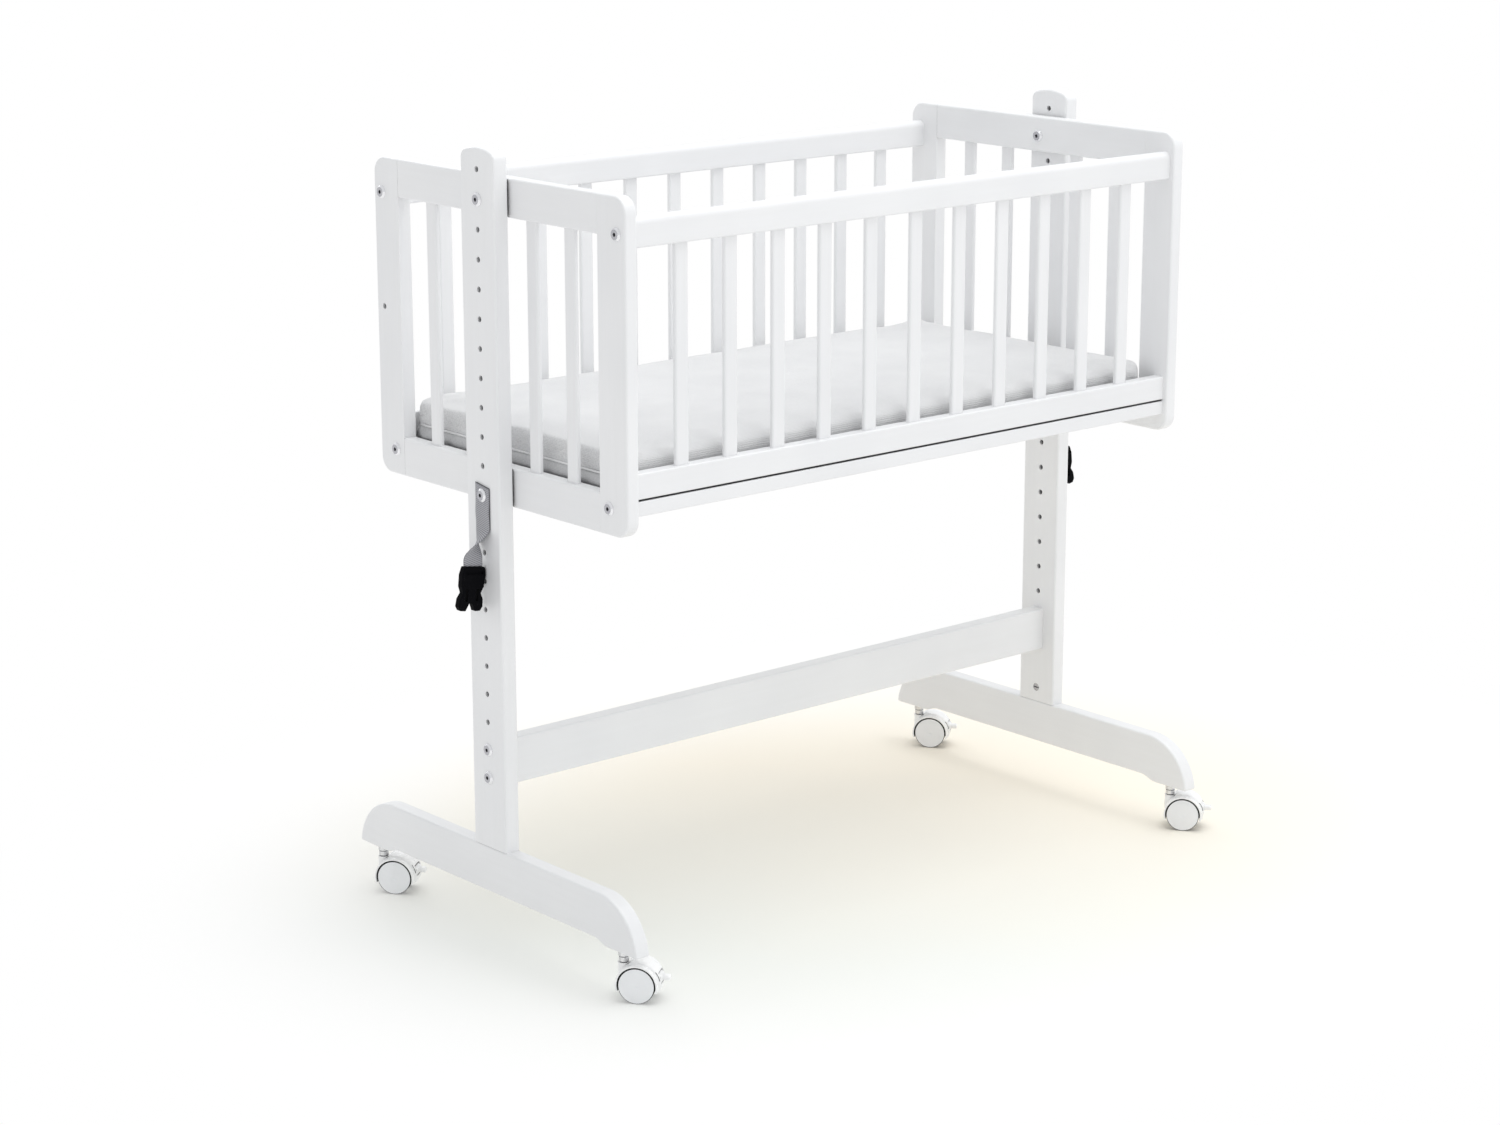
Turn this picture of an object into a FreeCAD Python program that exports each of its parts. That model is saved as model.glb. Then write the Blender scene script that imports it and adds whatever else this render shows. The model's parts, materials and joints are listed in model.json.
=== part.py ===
import FreeCAD, Part
import math
import os

import Sketcher

# Rocking bedside cradle, in millimetres. +X runs along the cradle, -Y is its front, +Z is up,
# and the origin is on the floor midway between the four casters.

V = FreeCAD.Vector

doc = FreeCAD.newDocument("cradle")

# ---------------------------------------------------------------- driving dimensions

DIMENSIONS = [
    # bassinet
    ("inner_length", 806),        # clear length between the end frames
    ("end_thickness", 16),
    ("end_half_width", 222.2),
    ("end_bottom", 500.2),
    ("end_height", 356.2),
    ("stile_width", 45.4),
    ("end_corner_radius", 18),
    ("end_top_rail_height", 42.3),
    ("end_bottom_rail_height", 43.6),
    ("end_slat_near", 58),        # distance of the inner end slats from the middle
    ("end_slat_far", 123),        # distance of the outer end slats from the middle
    ("slat_width", 18),
    ("slat_thickness", 6),
    ("slat_rounding", 2.4),
    ("tenon_depth", 8),
    ("tenon_play", 0.1),
    ("side_centre", 207.9),       # middle plane of the side panels
    ("side_thickness", 16),
    ("side_top_rail_bottom", 802),
    ("side_top_rail_height", 32),
    ("side_bottom_rail_bottom", 539),
    ("side_bottom_rail_height", 27.6),
    ("side_top_rounding", 7.6),
    ("side_slat_pitch", 67),
    ("side_slat_count", 11),
    ("base_bottom", 521),
    ("base_thickness", 16),
    ("base_half_width", 215.9),
    ("mattress_length", 800),
    ("mattress_width", 398),
    ("mattress_height", 49.6),
    ("mattress_bottom", 537.2),
    ("mattress_corner", 22),
    ("mattress_rounding", 12),
    # stand
    ("pivot_gap", 2.4),           # room for a spacer between upright and end frame
    ("board_thickness", 19),      # uprights and feet
    ("upright_width", 58.6),
    ("upright_height", 776),
    ("crown_radius", 75),
    ("crown_corner", 9),
    ("hole_size", 6.5),
    ("hole_pitch", 32),
    ("hole_count", 22),
    ("first_hole", 193),
    ("foot_half_length", 256.5),
    ("foot_bottom", 53.3),
    ("foot_height", 58.7),
    ("foot_shoulder", 191.8),     # where the rounded end starts
    ("foot_end_radius", 65),
    ("foot_pad_start", 206),      # the end pads, lower than the hollow between them
    ("foot_arch_half", 181),
    ("foot_arch_rise", 5.7),
    ("edge_rounding", 2.5),
    ("joint_bevel", 0.4),         # fine groove where a rail butts against a stile
    ("rail_thickness", 19.5),
    ("rail_height", 53),
    ("rail_bottom", 182.5),
    # fasteners
    ("bolt_size", 6),
    ("bolt_head", 15),
    ("bolt_face", 11),            # flat of the conical head
    ("bolt_head_height", 2.6),
    ("bolt_flange", 0.5),
    ("bolt_socket", 4),
    ("socket_depth", 2.2),
    ("nut_size", 10),
    ("nut_length", 12),
    ("nut_bore", 6.2),
    ("nut_recess", 13),
    ("rail_nut_inset", 32),
    ("foot_nut_up", 18),
    ("foot_head_up", 25.7),
    ("pivot_height", 833),
    ("pivot_bore", 6.16),         # running fit on the pivot bolt
    ("sleeve_size", 9),           # of the nuts on the pivot bolts
    ("sleeve_length", 12),
    ("sleeve_bore", 9.16),        # running fit on the sleeve
    ("pivot_spacer_size", 17),
    ("upper_bolt_out", 208),
    ("upper_bolt_height", 817.5),
    ("spare_hole_height", 689.5),
    ("lower_bolt_out", 192),
    ("lower_bolt_height", 529),
    ("frame_nut_inset", 28),
    # strap
    ("strap_hole_height", 513),
    ("strap_width", 25),
    ("strap_thickness", 1.6),
    ("strap_top", 526),
    ("strap_flat_bottom", 478),
    ("strap_bottom", 434.2),
    ("buckle_thickness", 8),
    ("buckle_lean", 9),
    # casters
    ("caster_out", 223.7),        # distance of a stem from the middle, along the foot
    ("caster_angle", -52),        # direction in which the wheels trail
    ("caster_trail", 17),
    ("wheel_radius", 20),
    ("wheel_inner", 6),
    ("wheel_outer", 18),
    ("hood_radius", 23.2),        # of the rims over the wheels
    ("hood_bore", 21.4),
    ("hood_half_width", 18.5),
    ("hood_web", 5.5),            # half thickness of the web between the wheels
    ("hood_cut", 13.5),           # height of the hood's lower edge
    ("body_half_width", 12),      # hood between the rims, reaching back to the lever
    ("body_top", 44),
    ("body_back", 43),
    ("body_bend", 19.9),
    ("body_rounding", 3.5),
    ("boss_size", 13),
    ("boss_top", 41),
    ("stem_size", 6),
    ("stem_bore", 6.12),
    ("axle_size", 5),
    ("axle_bore", 5.12),
    ("axle_half", 15.2),
    ("lever_half_width", 8.4),
    ("lever_tab_width", 8.4),
    ("lever_reach", 51),
    ("lever_pin", 3),
    ("lever_pin_bore", 3.12),
    ("lever_pivot_x", 38.6),
    ("lever_pivot_z", 27.5),
]

dims = doc.addObject("Spreadsheet::Sheet", "dims")
dims.Label = "Driving dimensions"
for row_number, (alias, value) in enumerate(DIMENSIONS, start=1):
    dims.set("A%d" % row_number, alias)
    dims.set("B%d" % row_number, str(value))
    dims.setAlias("B%d" % row_number, alias)
doc.recompute()

# Places that several pieces share, as formulas of the sheet
END_FACE = "dims.inner_length / 2"
END_CENTRE = "(dims.inner_length + dims.end_thickness) / 2"
END_OUTER = "(dims.inner_length / 2 + dims.end_thickness)"
UPRIGHT_INNER = "(dims.inner_length / 2 + dims.end_thickness + dims.pivot_gap)"
UPRIGHT_CENTRE = "(%s + dims.board_thickness / 2)" % UPRIGHT_INNER
UPRIGHT_OUTER = "(%s + dims.board_thickness)" % UPRIGHT_INNER
FOOT_TOP = "(dims.foot_bottom + dims.foot_height)"

pieces = []

# ---------------------------------------------------------------- modelling helpers


def piece(label, x=None, y=None, z=None, rotation=None):
    """A PartDesign body whose place is bound to the sheet."""
    body = doc.addObject("PartDesign::Body", label)
    body.Label = label
    body.AllowCompound = True
    if rotation is not None:
        body.Placement = FreeCAD.Placement(V(0, 0, 0), rotation)
    for axis, formula in (("x", x), ("y", y), ("z", z)):
        if formula is not None:
            body.setExpression("Placement.Base." + axis, formula)
    pieces.append(body)
    return body


def turn(degrees):
    return FreeCAD.Rotation(V(0, 0, 1), degrees)


def half_turn(end):
    """Right-hand pieces are the left-hand ones turned round."""
    return turn(0) if end < 0 else turn(180)


def signed(end, formula):
    return formula if end > 0 else "-(%s)" % formula


def origin_feature(body, role):
    return [f for f in body.Origin.OriginFeatures if f.Role == role][0]


def sketch_on(body, role, x=None, y=None, offset=None):
    """An empty sketch on one of the body's own origin planes, moved in it and off it."""
    sketch = body.newObject("Sketcher::SketchObject", "Sketch")
    sketch.AttachmentSupport = [(origin_feature(body, role), "")]
    sketch.MapMode = "FlatFace"
    for axis, formula in (("x", x), ("y", y), ("z", offset)):
        if formula is not None:
            sketch.setExpression("AttachmentOffset.Base." + axis, formula)
    return sketch


def bind(sketch, kind, arguments, name, formula):
    """Adds a dimension to the sketch and binds it to the formula."""
    value = float(sketch.evalExpression(formula))
    index = sketch.addConstraint(Sketcher.Constraint(kind, *arguments, value))
    sketch.renameConstraint(index, name)
    sketch.setExpression("Constraints." + name, formula)


def pin_point(sketch, geometry, vertex, x, y, name):
    """Fixes a point of the sketch at two formulas, on an axis where a formula is zero."""
    if abs(sketch.evalExpression(x)) < 1e-9:
        sketch.addConstraint(Sketcher.Constraint("PointOnObject", geometry, vertex, -2))
    else:
        bind(sketch, "DistanceX", (-1, 1, geometry, vertex), name + "_x", x)
    if abs(sketch.evalExpression(y)) < 1e-9:
        sketch.addConstraint(Sketcher.Constraint("PointOnObject", geometry, vertex, -1))
    else:
        bind(sketch, "DistanceY", (-1, 1, geometry, vertex), name + "_y", y)


def arc_between(start, end, radius, left):
    """The shorter arc from start to end, turning left or right on the way."""
    chord = end - start
    across = V(-chord.y, chord.x, 0).normalize()
    height = math.sqrt(max(radius ** 2 - (chord.Length / 2) ** 2, 0))
    centre = (start + end) * 0.5 + across * (height if left else -height)
    first, last = (start, end) if left else (end, start)
    begin = math.atan2(first.y - centre.y, first.x - centre.x)
    finish = math.atan2(last.y - centre.y, last.x - centre.x)
    if finish < begin:
        finish += 2 * math.pi
    return Part.ArcOfCircle(Part.Circle(centre, V(0, 0, 1), radius), begin, finish)


def outline(sketch, corners, arcs=None):
    """A closed outline through corners, pairs of formulas.

    arcs gives the sides that are arcs, by number, as (radius formula, turns left).
    """
    arcs = arcs or {}
    points = [V(float(sketch.evalExpression(x)), float(sketch.evalExpression(y)), 0)
              for x, y in corners]
    sides = []
    for number, start in enumerate(points):
        end = points[(number + 1) % len(points)]
        if number in arcs:
            radius, left = arcs[number]
            value = float(sketch.evalExpression(radius))
            geometry = sketch.addGeometry(arc_between(start, end, value, left))
            sides.append((geometry, 1, 2) if left else (geometry, 2, 1))
        else:
            sides.append((sketch.addGeometry(Part.LineSegment(start, end)), 1, 2))
    for number, (geometry, first, _) in enumerate(sides):
        before, _, last = sides[number - 1]
        sketch.addConstraint(Sketcher.Constraint("Coincident", before, last, geometry, first))
    for number, (geometry, first, _) in enumerate(sides):
        name = "g%d" % geometry
        pin_point(sketch, geometry, first, corners[number][0], corners[number][1], name)
        if number in arcs:
            bind(sketch, "Radius", (geometry,), name + "_r", arcs[number][0])


def circle(sketch, x, y, diameter):
    centre = V(float(sketch.evalExpression(x)), float(sketch.evalExpression(y)), 0)
    radius = float(sketch.evalExpression(diameter)) / 2
    geometry = sketch.addGeometry(Part.Circle(centre, V(0, 0, 1), radius))
    name = "g%d" % geometry
    pin_point(sketch, geometry, 3, x, y, name)
    bind(sketch, "Diameter", (geometry,), name + "_d", diameter)


def rectangle(sketch, left, right, bottom, top):
    outline(sketch, [(left, bottom), (right, bottom), (right, top), (left, top)])


def rounded_bar(sketch, x, y, width, height, lower, upper):
    """A rectangle about (x, y) with one radius at its lower corners and one at its upper."""
    left, right = "%s - %s / 2" % (x, width), "%s + %s / 2" % (x, width)
    bottom, top = "%s - %s / 2" % (y, height), "%s + %s / 2" % (y, height)
    corners = [
        ("%s + %s" % (left, lower), bottom),
        ("%s - %s" % (right, lower), bottom),
        (right, "%s + %s" % (bottom, lower)),
        (right, "%s - %s" % (top, upper)),
        ("%s - %s" % (right, upper), top),
        ("%s + %s" % (left, upper), top),
        (left, "%s - %s" % (top, upper)),
        (left, "%s + %s" % (bottom, lower)),
    ]
    outline(sketch, corners, {1: (lower, True), 3: (upper, True), 5: (upper, True), 7: (lower, True)})


def pad(body, sketch, length, symmetric=False, backwards=False):
    feature = body.newObject("PartDesign::Pad", "Pad")
    feature.Profile = sketch
    feature.SideType = "Symmetric" if symmetric else "One side"
    feature.Reversed = backwards
    feature.setExpression("Length", length)
    doc.recompute()
    return feature


def pocket(body, sketch, length, symmetric=False, backwards=False):
    """Cuts against the sketch's normal, or along it if backwards, and makes sure it cut."""
    before = body.Tip.Shape.Volume
    feature = body.newObject("PartDesign::Pocket", "Pocket")
    feature.Profile = sketch
    feature.SideType = "Symmetric" if symmetric else "One side"
    feature.Reversed = backwards
    feature.setExpression("Length", length)
    doc.recompute()
    if feature.Shape.Volume > before - 1e-3:
        raise RuntimeError("a pocket of %s cuts nothing" % body.Label)
    return feature


def revolve(body, sketch, axis):
    feature = body.newObject("PartDesign::Revolution", "Revolution")
    feature.Profile = sketch
    feature.ReferenceAxis = (sketch, [axis])
    feature.Angle = 360
    doc.recompute()
    return feature


def chosen_edges(shape, test):
    return ["Edge%d" % (number + 1) for number, edge in enumerate(shape.Edges) if test(edge)]


def round_edges(body, radius, test):
    """Fillets the edges of the body that pass the test."""
    base = body.Tip
    feature = body.newObject("PartDesign::Fillet", "Fillet")
    feature.Base = (base, chosen_edges(base.Shape, test))
    feature.setExpression("Radius", radius)
    doc.recompute()
    return feature


def bevel_edges(body, width, test):
    """Chamfers the edges of the body that pass the test."""
    base = body.Tip
    feature = body.newObject("PartDesign::Chamfer", "Chamfer")
    feature.Base = (base, chosen_edges(base.Shape, test))
    feature.setExpression("Size", width)
    doc.recompute()
    return feature


def repeat(body, features, role, count, pitch):
    """Copies features in a row along one of the body's axes."""
    feature = body.newObject("PartDesign::LinearPattern", "LinearPattern")
    feature.Originals = features
    feature.Direction = (origin_feature(body, role), [""])
    feature.setExpression("Occurrences", count)
    feature.setExpression("Length", "(%s) * (%s - 1)" % (pitch, count))
    body.Tip = feature
    doc.recompute()
    return feature


def mirror(body, role, features=None):
    """Mirrors the given features, or all of the body, in one of its origin planes."""
    feature = body.newObject("PartDesign::Mirrored", "Mirrored")
    if features:
        feature.Originals = features
    else:
        feature.TransformMode = "Whole shape"
    feature.MirrorPlane = (origin_feature(body, role), [""])
    body.Tip = feature
    doc.recompute()
    return feature


def size(alias):
    return float(dims.get(alias))


def in_plane(edge, axis, place):
    """True if the edge lies in the plane across the axis at the place."""
    box = edge.BoundBox
    low, high = getattr(box, axis + "Min"), getattr(box, axis + "Max")
    return abs(low - place) < 1e-3 and abs(high - place) < 1e-3


def runs_along(edge, axis):
    """True for a straight edge parallel to the axis."""
    if edge.Curve.TypeId != "Part::GeomLine":
        return False
    return abs(getattr(edge.tangentAt(edge.FirstParameter), axis)) > 0.999


# ---------------------------------------------------------------- stand: boards


def make_upright(label, end):
    """Board on end with a crowned top, a row of through holes and a barrel nut near its foot."""
    body = piece(label, signed(end, UPRIGHT_CENTRE), None, FOOT_TOP, half_turn(end))
    half = "dims.upright_width / 2"
    shoulder = ("dims.upright_height - dims.crown_radius"
                " + sqrt(dims.crown_radius^2 - (dims.upright_width / 2)^2)")
    sketch = sketch_on(body, "YZ_Plane")
    corners = [("-" + half, "0"), (half, "0"), (half, shoulder), ("-" + half, shoulder)]
    outline(sketch, corners, {2: ("dims.crown_radius", True)})
    pad(body, sketch, "dims.board_thickness", symmetric=True)
    round_edges(body, "dims.crown_corner",
                lambda e: runs_along(e, "x") and e.BoundBox.ZMin > size("upright_height") / 2)
    face = size("board_thickness") / 2
    round_edges(body, "dims.edge_rounding",
                lambda e: (in_plane(e, "X", face) or in_plane(e, "X", -face))
                and e.BoundBox.ZMax > 1)
    holes = sketch_on(body, "YZ_Plane")
    circle(holes, "0", "dims.first_hole - %s" % FOOT_TOP, "dims.hole_size")
    first = pocket(body, holes, "dims.board_thickness * 2", symmetric=True)
    repeat(body, [first], "Z_Axis", "dims.hole_count", "dims.hole_pitch")
    recess = sketch_on(body, "YZ_Plane", offset="dims.board_thickness / 2")
    circle(recess, "0", "dims.foot_nut_up", "dims.nut_size + 0.1")
    pocket(body, recess, "dims.nut_recess")
    bore = sketch_on(body, "XY_Plane")
    circle(bore, "0", "0", "dims.hole_size")
    pocket(body, bore, "dims.foot_nut_up + 8", backwards=True)


def make_foot(label, end):
    """Board on edge: quarter-round ends, end pads and a shallow hollow between them."""
    body = piece(label, signed(end, UPRIGHT_CENTRE), None, "dims.foot_bottom", half_turn(end))
    tip, pad_start, arch = "dims.foot_half_length", "dims.foot_pad_start", "dims.foot_arch_half"
    middle = "(dims.foot_pad_start + dims.foot_arch_half) / 2"
    rise, step = "dims.foot_arch_rise", "dims.foot_arch_rise / 2"
    bend = "((%s - %s)^2 + (%s)^2) / (2 * %s)" % (pad_start, middle, step, step)
    corners = [
        (pad_start, "0"),
        (tip, "0"),
        ("dims.foot_shoulder", "dims.foot_height"),
        ("-dims.foot_shoulder", "dims.foot_height"),
        ("-" + tip, "0"),
        ("-" + pad_start, "0"),
        ("-" + middle, step),
        ("-" + arch, rise),
        (arch, rise),
        (middle, step),
    ]
    arcs = {
        1: ("dims.foot_end_radius", True),
        3: ("dims.foot_end_radius", True),
        5: (bend, True),
        6: (bend, False),
        8: (bend, False),
        9: (bend, True),
    }
    sketch = sketch_on(body, "YZ_Plane")
    outline(sketch, corners, arcs)
    pad(body, sketch, "dims.board_thickness", symmetric=True)
    round_edges(body, "dims.edge_rounding",
                lambda e: runs_along(e, "x") and abs(e.BoundBox.YMax) > size("foot_half_length") - 1
                or runs_along(e, "x") and abs(e.BoundBox.YMin) > size("foot_half_length") - 1)
    face = size("board_thickness") / 2
    round_edges(body, "dims.edge_rounding",
                lambda e: in_plane(e, "X", face) or in_plane(e, "X", -face))
    bolt = sketch_on(body, "XY_Plane")
    circle(bolt, "0", "0", "dims.hole_size")
    pocket(body, bolt, "dims.foot_height + 1", backwards=True)
    head = sketch_on(body, "XY_Plane")
    circle(head, "0", "0", "dims.bolt_head + 1.5")
    pocket(body, head, "dims.foot_head_up", backwards=True)
    stem = sketch_on(body, "XY_Plane")
    circle(stem, "0", "dims.caster_out", "8.2")
    socket = pocket(body, stem, "36", backwards=True)
    mirror(body, "XZ_Plane", [socket])


def make_cross_rail():
    """Plain rail between the uprights, bored for two bolts and two barrel nuts at each end."""
    body = piece("cross_rail", None, None, "dims.rail_bottom + dims.rail_height / 2")
    sketch = sketch_on(body, "YZ_Plane")
    rounded_bar(sketch, "0", "0", "dims.rail_thickness", "dims.rail_height",
                "dims.edge_rounding", "dims.edge_rounding")
    pad(body, sketch, "2 * %s" % UPRIGHT_INNER, symmetric=True)
    bores = sketch_on(body, "YZ_Plane", offset=UPRIGHT_INNER)
    circle(bores, "0", "dims.hole_pitch / 2", "dims.hole_size")
    circle(bores, "0", "-dims.hole_pitch / 2", "dims.hole_size")
    one = pocket(body, bores, "dims.rail_nut_inset + 10")
    nuts = sketch_on(body, "XZ_Plane", offset="-dims.rail_thickness / 2")
    for height in ("dims.hole_pitch / 2", "-dims.hole_pitch / 2"):
        circle(nuts, "%s - dims.rail_nut_inset" % UPRIGHT_INNER, height, "dims.nut_size + 0.1")
    two = pocket(body, nuts, "dims.rail_thickness / 2 + dims.nut_length / 2 + 0.5", backwards=True)
    mirror(body, "YZ_Plane", [one, two])


# ---------------------------------------------------------------- fasteners


def hexagon(sketch, flats):
    """A regular hexagon about the sketch's origin, lying on a flat."""
    corner, flat = "(%s / sqrt(3))" % flats, "(%s / 2)" % flats
    outline(sketch, [
        (corner, "0"), (corner + " / 2", flat), ("-%s / 2" % corner, flat),
        ("-" + corner, "0"), ("-%s / 2" % corner, "-" + flat), (corner + " / 2", "-" + flat),
    ])


def add_bolt(body, start, length, height="0", out="0", shank="dims.bolt_size"):
    """A conical-head socket bolt along +X: the underside of its head at start, its axis
    at height above the body's origin and out to the front of it."""
    head, face = "dims.bolt_head / 2", "dims.bolt_face / 2"
    flange, tall = "dims.bolt_flange", "dims.bolt_head_height"
    radius = shank + " / 2"
    corners = [
        ("-" + tall, "0"),
        (length, "0"),
        (length, radius + " - 0.6"),
        (length + " - 0.6", radius),
        ("0", radius),
        ("0", head),
        ("-" + flange, head),
        ("-" + tall, face),
    ]
    profile = sketch_on(body, "XZ_Plane", x=start, y=height, offset=out)
    outline(profile, corners)
    solid = revolve(body, profile, "H_Axis")
    socket = sketch_on(body, "YZ_Plane", x="-(%s)" % out, y=height,
                       offset="%s - %s" % (start, tall))
    hexagon(socket, "dims.bolt_socket")
    return [solid, pocket(body, socket, "dims.socket_depth", backwards=True)]


def make_cross_rail_bolts():
    body = piece("cross_rail_bolts", None, None, "dims.first_hole")
    start = "-" + UPRIGHT_OUTER
    one = add_bolt(body, start, "dims.board_thickness + dims.rail_nut_inset + 8")
    repeat(body, one, "Z_Axis", "2", "dims.hole_pitch")
    mirror(body, "YZ_Plane")


def make_foot_bolts():
    """Vertical bolts, head down in the foot: the body's X axis stands along +Z."""
    upright = FreeCAD.Rotation(V(0, 1, 0), -90)
    body = piece("foot_bolts", None, None, "dims.foot_bottom + dims.foot_head_up", upright)
    length = "dims.foot_height - dims.foot_head_up + dims.foot_nut_up + 7"
    add_bolt(body, "0", length, UPRIGHT_CENTRE)
    mirror(body, "XY_Plane")


def make_strap_bolts():
    """Bolts that hold the straps in the uprights' holes."""
    body = piece("strap_bolts", None, None, "dims.strap_hole_height")
    start = "-(%s + dims.strap_thickness + 0.2)" % UPRIGHT_OUTER
    add_bolt(body, start, "dims.strap_thickness + dims.board_thickness - 0.6")
    mirror(body, "YZ_Plane")


def make_pivot_bolts():
    """Bolts the bassinet hangs and rocks on, through upright, spacer and end frame."""
    body = piece("pivot_bolts", None, None, "dims.pivot_height")
    start = "-(%s + 0.05)" % UPRIGHT_OUTER
    add_bolt(body, start, "dims.board_thickness + dims.pivot_gap + dims.end_thickness - 2")
    mirror(body, "YZ_Plane")


def make_frame_bolts(label, out, height):
    """Four bolts through the end frames, into the panels or the board between them."""
    body = piece(label, None, None, height)
    length = "dims.end_thickness + dims.frame_nut_inset + 8"
    add_bolt(body, "-" + END_OUTER, length, out=out)
    mirror(body, "XZ_Plane")
    mirror(body, "YZ_Plane")


def make_pivot_spacers():
    body = piece("pivot_spacers", None, None, "dims.pivot_height")
    sketch = sketch_on(body, "YZ_Plane", offset="%s + 0.05" % END_OUTER)
    circle(sketch, "0", "0", "dims.pivot_spacer_size")
    circle(sketch, "0", "0", "dims.bolt_size + 0.2")
    pad(body, sketch, "dims.pivot_gap - 0.1")
    mirror(body, "YZ_Plane")


def make_pivot_nuts():
    """Sleeve nuts let into the end frames' inner faces, with heads like the bolts'."""
    body = piece("pivot_nuts", None, None, "dims.pivot_height")
    start = "%s - 0.05" % END_FACE
    add_bolt(body, start, "dims.sleeve_length", shank="dims.sleeve_size")
    thread = sketch_on(body, "YZ_Plane", offset="%s + dims.sleeve_length" % start)
    circle(thread, "0", "0", "dims.nut_bore")
    pocket(body, thread, "dims.sleeve_length - 0.6")
    mirror(body, "YZ_Plane")


def make_rail_nuts():
    """Barrel nuts across the cross rail, their slotted ends at its back face."""
    body = piece("cross_rail_barrel_nuts", None, None, "dims.first_hole")
    place = "%s - dims.rail_nut_inset" % UPRIGHT_INNER
    sketch = sketch_on(body, "XZ_Plane", offset="-dims.nut_length / 2")
    circle(sketch, place, "0", "dims.nut_size")
    barrel = pad(body, sketch, "dims.nut_length")
    thread = sketch_on(body, "YZ_Plane", offset=place)
    circle(thread, "0", "0", "dims.nut_bore")
    bore = pocket(body, thread, "dims.nut_size * 2", symmetric=True)
    slot = sketch_on(body, "XZ_Plane", offset="-dims.nut_length / 2")
    rectangle(slot, place + " - dims.nut_size", place + " + dims.nut_size", "-0.7", "0.7")
    groove = pocket(body, slot, "1.2", backwards=True)
    repeat(body, [barrel, bore, groove], "Z_Axis", "2", "dims.hole_pitch")
    mirror(body, "YZ_Plane")


def make_foot_nuts():
    """Barrel nuts in the uprights, their slotted ends at the inner faces."""
    body = piece("foot_barrel_nuts", None, None, "%s + dims.foot_nut_up" % FOOT_TOP)
    sketch = sketch_on(body, "YZ_Plane", offset="%s + 0.3" % UPRIGHT_INNER)
    circle(sketch, "0", "0", "dims.nut_size")
    pad(body, sketch, "dims.nut_length")
    thread = sketch_on(body, "XY_Plane")
    circle(thread, UPRIGHT_CENTRE, "0", "dims.nut_bore")
    pocket(body, thread, "dims.nut_size * 2", symmetric=True)
    slot = sketch_on(body, "YZ_Plane", offset="%s + 0.3" % UPRIGHT_INNER)
    rectangle(slot, "-dims.nut_size", "dims.nut_size", "-0.8", "0.8")
    pocket(body, slot, "1.5", backwards=True)
    mirror(body, "YZ_Plane")


def make_frame_nuts(label, out, height, top):
    """Upright barrel nuts for the frame bolts, let in from below; top is their upper end."""
    body = piece(label, None, None, height)
    place = "%s - dims.frame_nut_inset" % END_FACE
    sketch = sketch_on(body, "XY_Plane", offset=top)
    circle(sketch, place, out, "dims.nut_size")
    pad(body, sketch, "dims.nut_length", backwards=True)
    thread = sketch_on(body, "YZ_Plane", offset=place)
    circle(thread, out, "0", "dims.nut_bore")
    pocket(body, thread, "dims.nut_size * 2", symmetric=True)
    mirror(body, "XZ_Plane")
    mirror(body, "YZ_Plane")


# ---------------------------------------------------------------- straps and buckles

TWIST_STEPS = 9
BUCKLE_CENTRE = "(%s + 15.4)" % UPRIGHT_OUTER


def make_strap(label, end):
    """Webbing hung flat on the upright's outer face, then twisted a quarter turn.

    Its last stretch stands square to the upright, one edge close to the upright's face,
    and its end is cut parallel to the top of the leaning buckle.
    """
    body = piece(label, None, None, None, half_turn(end))
    face = "-(%s + 0.15 + dims.strap_thickness / 2)" % UPRIGHT_OUTER
    sections = []
    heights = ["dims.strap_top"]
    shares = [0.0]
    for step in range(TWIST_STEPS):
        share = step / (TWIST_STEPS - 1)
        drop = "(dims.strap_flat_bottom - dims.strap_bottom)"
        heights.append("dims.strap_flat_bottom - %s * %.4f" % (drop, share))
        shares.append(0.5 - 0.5 * math.cos(math.pi * min(share / 0.8, 1)))
    for height, share in zip(heights, shares):
        angle = 90 * share
        swing = "%s - dims.strap_width / 2 * %.5f - %.4f" % (face, math.sin(math.radians(angle)), 2 * share)
        sketch = sketch_on(body, "XY_Plane", offset=height)
        sketch.AttachmentOffset = FreeCAD.Placement(V(0, 0, 0), turn(-angle))
        sketch.setExpression("AttachmentOffset.Base.x", swing)
        sketch.setExpression("AttachmentOffset.Base.z", height)
        rectangle(sketch, "-dims.strap_thickness / 2", "dims.strap_thickness / 2",
                  "-dims.strap_width / 2", "dims.strap_width / 2")
        sections.append(sketch)
    loft = body.newObject("PartDesign::AdditiveLoft", "Loft")
    loft.Profile = sections[0]
    loft.Sections = sections[1:]
    loft.Ruled = True
    doc.recompute()
    eye = sketch_on(body, "YZ_Plane", offset=face)
    circle(eye, "0", "dims.strap_hole_height", "dims.hole_size")
    pocket(body, eye, "dims.strap_thickness * 3", symmetric=True)
    rise = "14 * tan(dims.buckle_lean)"
    end_cut = sketch_on(body, "XZ_Plane")
    outline(end_cut, [
        ("-%s - 14" % BUCKLE_CENTRE, "dims.strap_bottom + 2.1 + " + rise),
        ("-%s - 14" % BUCKLE_CENTRE, "dims.strap_bottom - 5"),
        ("-%s + 14" % BUCKLE_CENTRE, "dims.strap_bottom - 5"),
        ("-%s + 14" % BUCKLE_CENTRE, "dims.strap_bottom + 2.1 - " + rise),
    ])
    pocket(body, end_cut, "dims.strap_thickness * 6", symmetric=True)


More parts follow.
